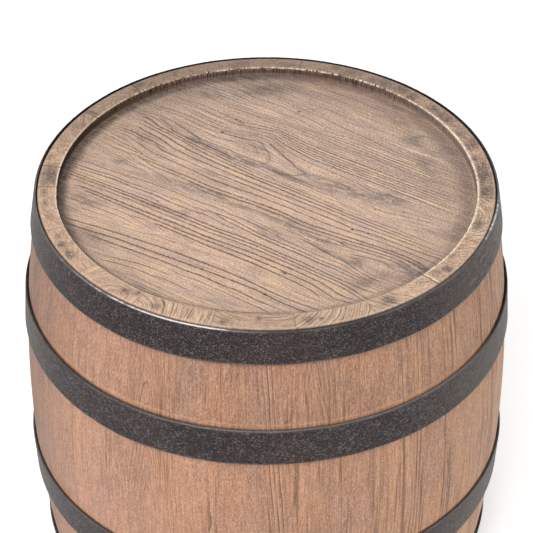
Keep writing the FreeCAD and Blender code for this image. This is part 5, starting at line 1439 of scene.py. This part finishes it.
def build_hoop(name, index):
    top, low, upper, lap = HOOPS[name]
    (r0, z0), (r1, z1) = hoop_line(name)
    T = 3.2
    width = z1 - z0
    k = (r1 - r0) / width
    # section: share of the thickness, place across the strip, edge and upper face
    sec = []
    e = 0.85
    for a in np.linspace(-90, 0, 5):
        sec.append((T - e + e * math.cos(math.radians(a)), e + e * math.sin(math.radians(a)), 1.0, 0.0))
    for zz in np.linspace(e, width - e, 25)[1:-1]:
        sec.append((T, zz, 0.0, 0.0))
    for a in np.linspace(0, 90, 5):
        up = math.sin(math.radians(a))
        sec.append((T - e + e * math.cos(math.radians(a)), width - e + e * up, 1.0, up ** 1.3))
    sec += [(T * 0.45, width, 0.8, 1.0), (0.25, width, 0.4, 1.0), (0.0, width - 0.3, 0.2, 0.6)]
    for zz in np.linspace(width - 0.3, 0.3, 7)[1:-1]:
        sec.append((0.0, zz, 0.0, 0.0))
    sec += [(0.0, 0.3, 0.2, 0.0), (0.25, 0.0, 0.4, 0.0), (T * 0.45, 0.0, 0.8, 0.0)]
    sec = np.array(sec)
    m = len(sec)
    rr = (r0 + r1) / 2
    # from the free end of the outer tongue once round to that of the inner one
    start, stop = -7.96, 367.96
    n = int(math.radians(stop - start) * rr / 2.0)
    a = np.linspace(start, stop, n)
    a = np.sort(np.concatenate([a, [start + 0.05, start + 0.14, 7.99, 8.01, 351.85, 351.94, 351.99,
                                    352.01, stop - 0.05]]))
    inner = np.where(a < 8.0, 1.7, 0.0)
    outerf = np.where(a > 352.0, 1.5, T)
    glob = a + lap
    A, _ = np.meshgrid(glob, np.arange(m), indexing="ij")
    q = np.broadcast_to(sec[:, 0] / T, A.shape).copy()
    zz = np.broadcast_to(sec[:, 1], A.shape).copy()
    edge = np.broadcast_to(sec[:, 2], A.shape)
    arc = np.radians(wrap(A)) * rr
    outer = (q > 0.3) & (outerf[:, None] > 2.0)
    off = inner[:, None] + q * (outerf - inner)[:, None]
    # peened face: shallow overlapping dents, and a wandering edge
    dents = 0.5 + 0.5 * noise2(arc / 11, zz / 9, 61 + index)
    fine = 0.5 + 0.5 * noise2(arc / 4.6, zz / 4.2, 71 + index)
    broad = 0.5 + 0.5 * noise2(arc / 60, zz / 40, 81 + index)
    press = 0.20 * dents + 0.12 * fine + 0.10 * broad
    # the two edges beside the lap's shoulder are worn
    worn_end = np.exp(-((a - start) / 0.09) ** 2) + np.exp(-((a - 352.0) / 0.09) ** 2)
    press = press + 0.35 * worn_end[:, None]
    off = off - np.where(outer, press * np.clip(q, 0, 1), 0)
    wander = 0.20 * noise2(arc / 34, 0 * arc, 91 + index) + 0.12 * noise2(arc / 7, 0 * arc, 95 + index)
    nick = np.maximum(0, noise2(arc / 5.0, 4.4 + 0 * arc, 99 + index) - 0.35) * 0.8
    top_side = zz > width * 0.5
    near = np.clip(1 - np.minimum(zz, width - zz) / 4.0, 0, 1)
    zz = zz - np.where(top_side, 1, -1) * near * (0.25 + wander + nick)
    sag_top, sag_low = sag(name, A)
    share = np.clip(zz / width, 0, 1)
    zz = zz + sag_low * (1 - share) + sag_top * share
    R = r0 + k * zz + off
    if upper:
        # where the strip hangs lower the barrel is wider
        R = R + np.maximum(0, wood_r(z0 + zz) + (inner[:, None] * 0 + 0.35) - (R - off))
    Z = z0 + zz
    co = np.stack([R * np.cos(np.radians(A)), R * np.sin(np.radians(A)), Z], -1).reshape(-1, 3)
    cols = len(a)
    quads = grid_quads(cols, m, close_cols=True)
    caps = [np.arange(m)[None, :], ((cols - 1) * m + np.arange(m)[::-1])[None, :]]
    strip = np.stack([np.radians(a)[:, None] * rr + 0 * A, sec[:, 1] + sec[:, 0] * 0.7 + 0 * A,
                      np.full(A.shape, index + 1.0)], -1).reshape(-1, 3)
    shine = 0.35 + 0.65 * smooth(-0.3, 0.5, noise2(arc / 45, 0 * arc, 103 + index))
    am = wrap(A)
    lid_highlight = np.interp(am, *LID_HIGHLIGHT.get(name, ([-180, 180], [.3, .3])))
    lid_highlight = lid_highlight * (1 + 0.28 * noise2(arc / 5, 0 * arc, 107 + index) + 0.22 * noise2(arc / 17, 0 * arc, 108 + index))
    # painted shade on the inner part of the upper face, beside the wood, except at the front right
    gap_shade = 0.25 + 0.65 * smooth(-66, -50, am) * smooth(-8, -18, am)
    lid_highlight = np.clip(lid_highlight, 0, 1) * np.where((sec[:, 3] > 0.5) & (sec[:, 0] < T * 0.3), gap_shade, 1.0)
    upface = np.broadcast_to(sec[:, 3], A.shape)
    if name == "upper_bilge_hoop":
        upface = upface * (1 - smooth(0.55 * T, 0.9 * T, sec[:, 0]) * smooth(48, 66, np.abs(am + 90)))
    # smoother and duller round the sides, with a painted sheen of lighter olive grey there
    matt_and_sheen = 0.42 * smooth(34, 66, am + 90) + 0.20 * smooth(48, 80, -(am + 90))
    scuff = np.zeros_like(A)
    if name == "upper_chime_hoop":
        scuff = smooth(-42, -24, am) * smooth(60, 20, am) * smooth(-0.5, 0.1, noise2(arc / 30, zz / 16, 109))
        matt_and_sheen = matt_and_sheen * (1 - 0.6 * scuff)
    ob = make_mesh("metal_" + name, co, [quads] + caps,
                   dict(strip=strip, edge=(edge * (q > 0.3) * shine * 0.7).ravel(),
                        upface=upface.ravel(), lid_highlight=lid_highlight.ravel(), matt_and_sheen=matt_and_sheen.ravel(),
                        scuff=scuff.ravel()), HOOP_MAT)
    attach(ob, "root")
    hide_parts(name)
    return ob


def build_rivets(name, index):
    top, low, upper, lap = HOOPS[name]
    (r0, z0), (r1, z1) = hoop_line(name)
    tilt = math.atan2(-(r1 - r0), z1 - z0)
    rm, zm = (r0 + r1) / 2, (z0 + z1) / 2
    co_all, quads, fans, strips, edges = [], [], [], [], []
    base = 0
    for j, local in enumerate((-3.1, 3.1)):
        # distance out along the rivet's axis, radius
        dome = ((6.5 ** 2 + 2.6 ** 2) / (2 * 2.6))
        prof = [(0.2, 3.0), (1.6, 3.0), (3.20, 3.0), (3.25, 6.1), (3.45, 6.45)]
        for q in np.linspace(6.4, 0.5, 16):
            prof.append((3.25 + 3.2 - dome + math.sqrt(dome ** 2 - q ** 2), q))
        prof = np.array(prof)
        nr, ns = len(prof), 44
        t = np.linspace(0, 2 * np.pi, ns, endpoint=False)
        P, Tt = np.meshgrid(np.arange(nr), t, indexing="ij")
        d, q = prof[P, 0], prof[P, 1]
        bx, by = q * np.cos(Tt), q * np.sin(Tt)
        head = d > 3.35
        flat = 0.5 + 0.5 * noise2(bx / 3.1 + 9 * j, by / 3.1 + 5 * index, 111)
        d = d - np.where(head, 0.28 * flat + 0.10 * np.abs(noise2(bx / 1.3, by / 1.3, 112 + j)), 0)
        q = q * np.where(head & (q > 5), 1 + 0.025 * noise2(np.cos(Tt) * 1.7 + j, np.sin(Tt) * 1.7, 113), 1)
        q = np.minimum(q, 6.5)
        bx, by = q * np.cos(Tt), q * np.sin(Tt)
        ang = math.radians(local + lap)
        ax = np.array([math.cos(ang), math.sin(ang), 0.0])
        tg = np.array([-math.sin(ang), math.cos(ang), 0.0])
        up = np.array([0, 0, 1.0])
        axis = ax * math.cos(tilt) + up * math.sin(tilt)
        side = -ax * math.sin(tilt) + up * math.cos(tilt)
        centre = ax * rm + up * zm
        pts = centre + d[..., None] * axis + bx[..., None] * tg + by[..., None] * side
        co_all.append(pts.reshape(-1, 3))
        quads.append(grid_quads(nr, ns, base, close_cols=True, flip=True))
        tip = centre + (prof[-1, 0] - 0.1) * axis
        foot = centre + 0.2 * axis
        co_all.append(np.array([tip, foot]))
        ring = base + (nr - 1) * ns + np.arange(ns)
        fans.append(np.stack([ring, np.roll(ring, -1), np.full(ns, base + nr * ns)], -1))
        ring = base + np.arange(ns)
        fans.append(np.stack([np.roll(ring, -1), ring, np.full(ns, base + nr * ns + 1)], -1))
        base += nr * ns + 2
        strips.append(np.stack([bx + 30 * j, by + 20 * index, 0 * bx + 7 + j], -1).reshape(-1, 3))
        strips.append(np.array([[30.0 * j, 20.0 * index, 7 + j]] * 2))
        edges.append(np.where(head, 0.25 + 0.45 * np.exp(-((q - 5.6) / 1.2) ** 2), 0).ravel())
        edges.append(np.array([0.5, 0.0]))
    ob = make_mesh("metal_" + name + "_rivets", np.concatenate(co_all),
                   [np.concatenate(quads), np.concatenate(fans)],
                   dict(strip=np.concatenate(strips), edge=np.concatenate(edges),
                        upface=0 * np.concatenate(edges), lid_highlight=0 * np.concatenate(edges),
                        matt_and_sheen=0 * np.concatenate(edges), scuff=0 * np.concatenate(edges)), RIVET_MAT)
    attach(ob, "root")
    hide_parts(name + "_rivets")
    return ob


# ============================================================ the bottom head
def build_board(k):
    ys = (-400.0,) + BOARD_JOINTS + (400.0,)
    y_lo, y_hi = ys[k] + 0.075, ys[k + 1] - 0.075
    nt = 46
    ns = 150
    layers = [(256.6, 12.0, 0.55), (257.0, 12.4, 0.0), (257.65, 12.95, 0.0), (263.9, 13.25, 0.0),
              (264.1, 13.5, 0.0), (264.1, 16.4, 0.0), (263.9, 16.55, 0.0), (257.6, 16.95, 0.0),
              (246.9, 31.7, 0.0), (246.6, 32.0, 0.4)]
    s = np.sin(np.linspace(-np.pi / 2, np.pi / 2, ns)) * 0.35 + np.linspace(-1, 1, ns) * 0.65
    t = np.linspace(0, 1, nt)
    px, py, step = ((30, -55, 4.2), (-60, -80, 3.8), (8, -48, 4.6), (75, -90, 4.0), (-25, -60, 3.7))[k]

    def sheet(R, z, inset):
        lo = y_lo + inset if k > 0 else -R * 0.99995
        hi = y_hi - inset if k < 4 else R * 0.99995
        if k == 0:                      # closer rows where the arc turns quickest
            yy = lo + (hi - lo) * t ** 2
        elif k == 4:
            yy = hi - (hi - lo) * (1 - t) ** 2
        else:
            yy = lo + (hi - lo) * t
        Y, Sx = np.meshgrid(yy, s, indexing="ij")
        X = Sx * np.sqrt(np.maximum(R * R - Y * Y, 0.0))
        return np.stack([X, Y, np.full_like(X, z)], -1)

    co, quads = [], []
    first = sheet(*layers[0])
    rel = 0.25 * (0.5 + 0.5 * noise2(first[..., 0] / 70, first[..., 1] / 30 + k * 7, 121)) \
        + 0.12 * np.maximum(0, noise2(first[..., 0] / 22, first[..., 1] / 6, 122 + k))
    first[..., 2] += rel * (first[..., 2] < 20)
    co.append(first.reshape(-1, 3))
    quads.append(grid_quads(nt, ns, flip=False))
    idx = np.arange(nt * ns).reshape(nt, ns)
    loop = np.concatenate([idx[0, :-1], idx[:-1, -1], idx[-1, :0:-1], idx[:0:-1, 0]])
    total, m, last = nt * ns, len(loop), loop
    for lay in layers[1:-1]:
        co.append(sheet(*lay).reshape(-1, 3)[loop])
        here = total + np.arange(m)
        quads.append(np.stack([last, np.roll(last, -1), np.roll(here, -1), here], -1))
        last, total = here, total + m
    end = sheet(*layers[-1]).reshape(-1, 3)
    co.append(end)
    here = total + loop
    quads.append(np.stack([last, np.roll(last, -1), np.roll(here, -1), here], -1))
    quads.append(grid_quads(nt, ns, base=total, flip=True))
    co = np.concatenate(co)
    mid = (max(y_lo, -264) + min(y_hi, 264)) / 2
    wl = np.stack([co[:, 1] - mid, co[:, 2] - 12.0, co[:, 0]], -1)
    one = np.ones(len(co))
    seam = np.zeros(len(co))
    if k > 0:
        seam = np.maximum(seam, np.exp(-((co[:, 1] - y_lo) / 0.8) ** 2))
    if k < 4:
        seam = np.maximum(seam, np.exp(-((co[:, 1] - y_hi) / 0.8) ** 2))
    # painted shade: darker towards the rim, where the board lies inside the foot
    rim = smooth(244, 257, np.hypot(co[:, 0], co[:, 1]))
    tone = (0.93, 1.02, 0.97, 1.04, 0.95)[k] * (1 - 0.18 * rim)
    ob = make_mesh("foot_board_%d" % (k + 1), co, [np.concatenate(quads)],
                   dict(wl=wl, pith=np.stack([px * one, py * one, step * one], -1),
                        seed=one * (3.3 + 1.7 * k), tone=one * tone, seam=seam), BOARD_MAT)
    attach(ob, "root")
    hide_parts("bottom_head_board_%d" % (k + 1))
    return ob


build_head()
for k in range(21):
    build_stave(k)
for i, name in enumerate(HOOPS):
    build_hoop(name, i)
    build_rivets(name, i)
for k in range(5):
    build_board(k)

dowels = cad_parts["bottom_head_dowels"]
dowels.data.materials.clear()
dowels.data.materials.append(DOWEL_MAT)


# ======================================================= floor, light, camera
def build_floor():
    g = np.linspace(-9000, 9000, 13)
    X, Y = np.meshgrid(g, g)
    co = np.stack([X, Y, 0 * X - 0.2], -1).reshape(-1, 3)
    ob = make_mesh("floor", co, [grid_quads(13, 13, flip=True)], {}, floor_material())
    return ob


build_floor()

world = bpy.data.worlds.new("studio")
bpy.context.scene.world = world
world.use_nodes = True
bg = world.node_tree.nodes["Background"]
bg.inputs[0].default_value = (1.0, 0.995, 0.985, 1.0)
bg.inputs[1].default_value = 0.28


def area(name, where, aim, size, power, colour=(1.0, 1.0, 1.0)):
    light = bpy.data.lights.new(name, "AREA")
    light.shape = "RECTANGLE"
    light.size, light.size_y = size
    light.energy = power
    light.color = colour
    ob = bpy.data.objects.new(name, light)
    bpy.context.scene.collection.objects.link(ob)
    ob.location = where
    ob.rotation_euler = (Vector(aim) - Vector(where)).to_track_quat("-Z", "Y").to_euler()
    return ob


area("key", (-0.8, -1.9, 3.0), (0.0, -0.1, 0.4), (2.0, 1.6), 80.0)
area("top", (0.1, 0.2, 3.3), (0.0, 0.0, 0.4), (2.6, 2.6), 20.0)
area("fill", (2.6, -1.4, 1.6), (0.0, 0.0, 0.3), (1.8, 1.8), 13.0)

cam_data = bpy.data.cameras.new("camera")
cam_data.lens = 174.95
cam_data.sensor_width = 36.0
cam_data.clip_end = 50.0
cam = bpy.data.objects.new("camera", cam_data)
bpy.context.scene.collection.objects.link(cam)
cam.location = (0.0, -2.5684, 2.4226)
cam.rotation_euler = (math.radians(52.08), 0.0, 0.0)
bpy.context.scene.camera = cam
bpy.context.scene.view_settings.view_transform = "Standard"
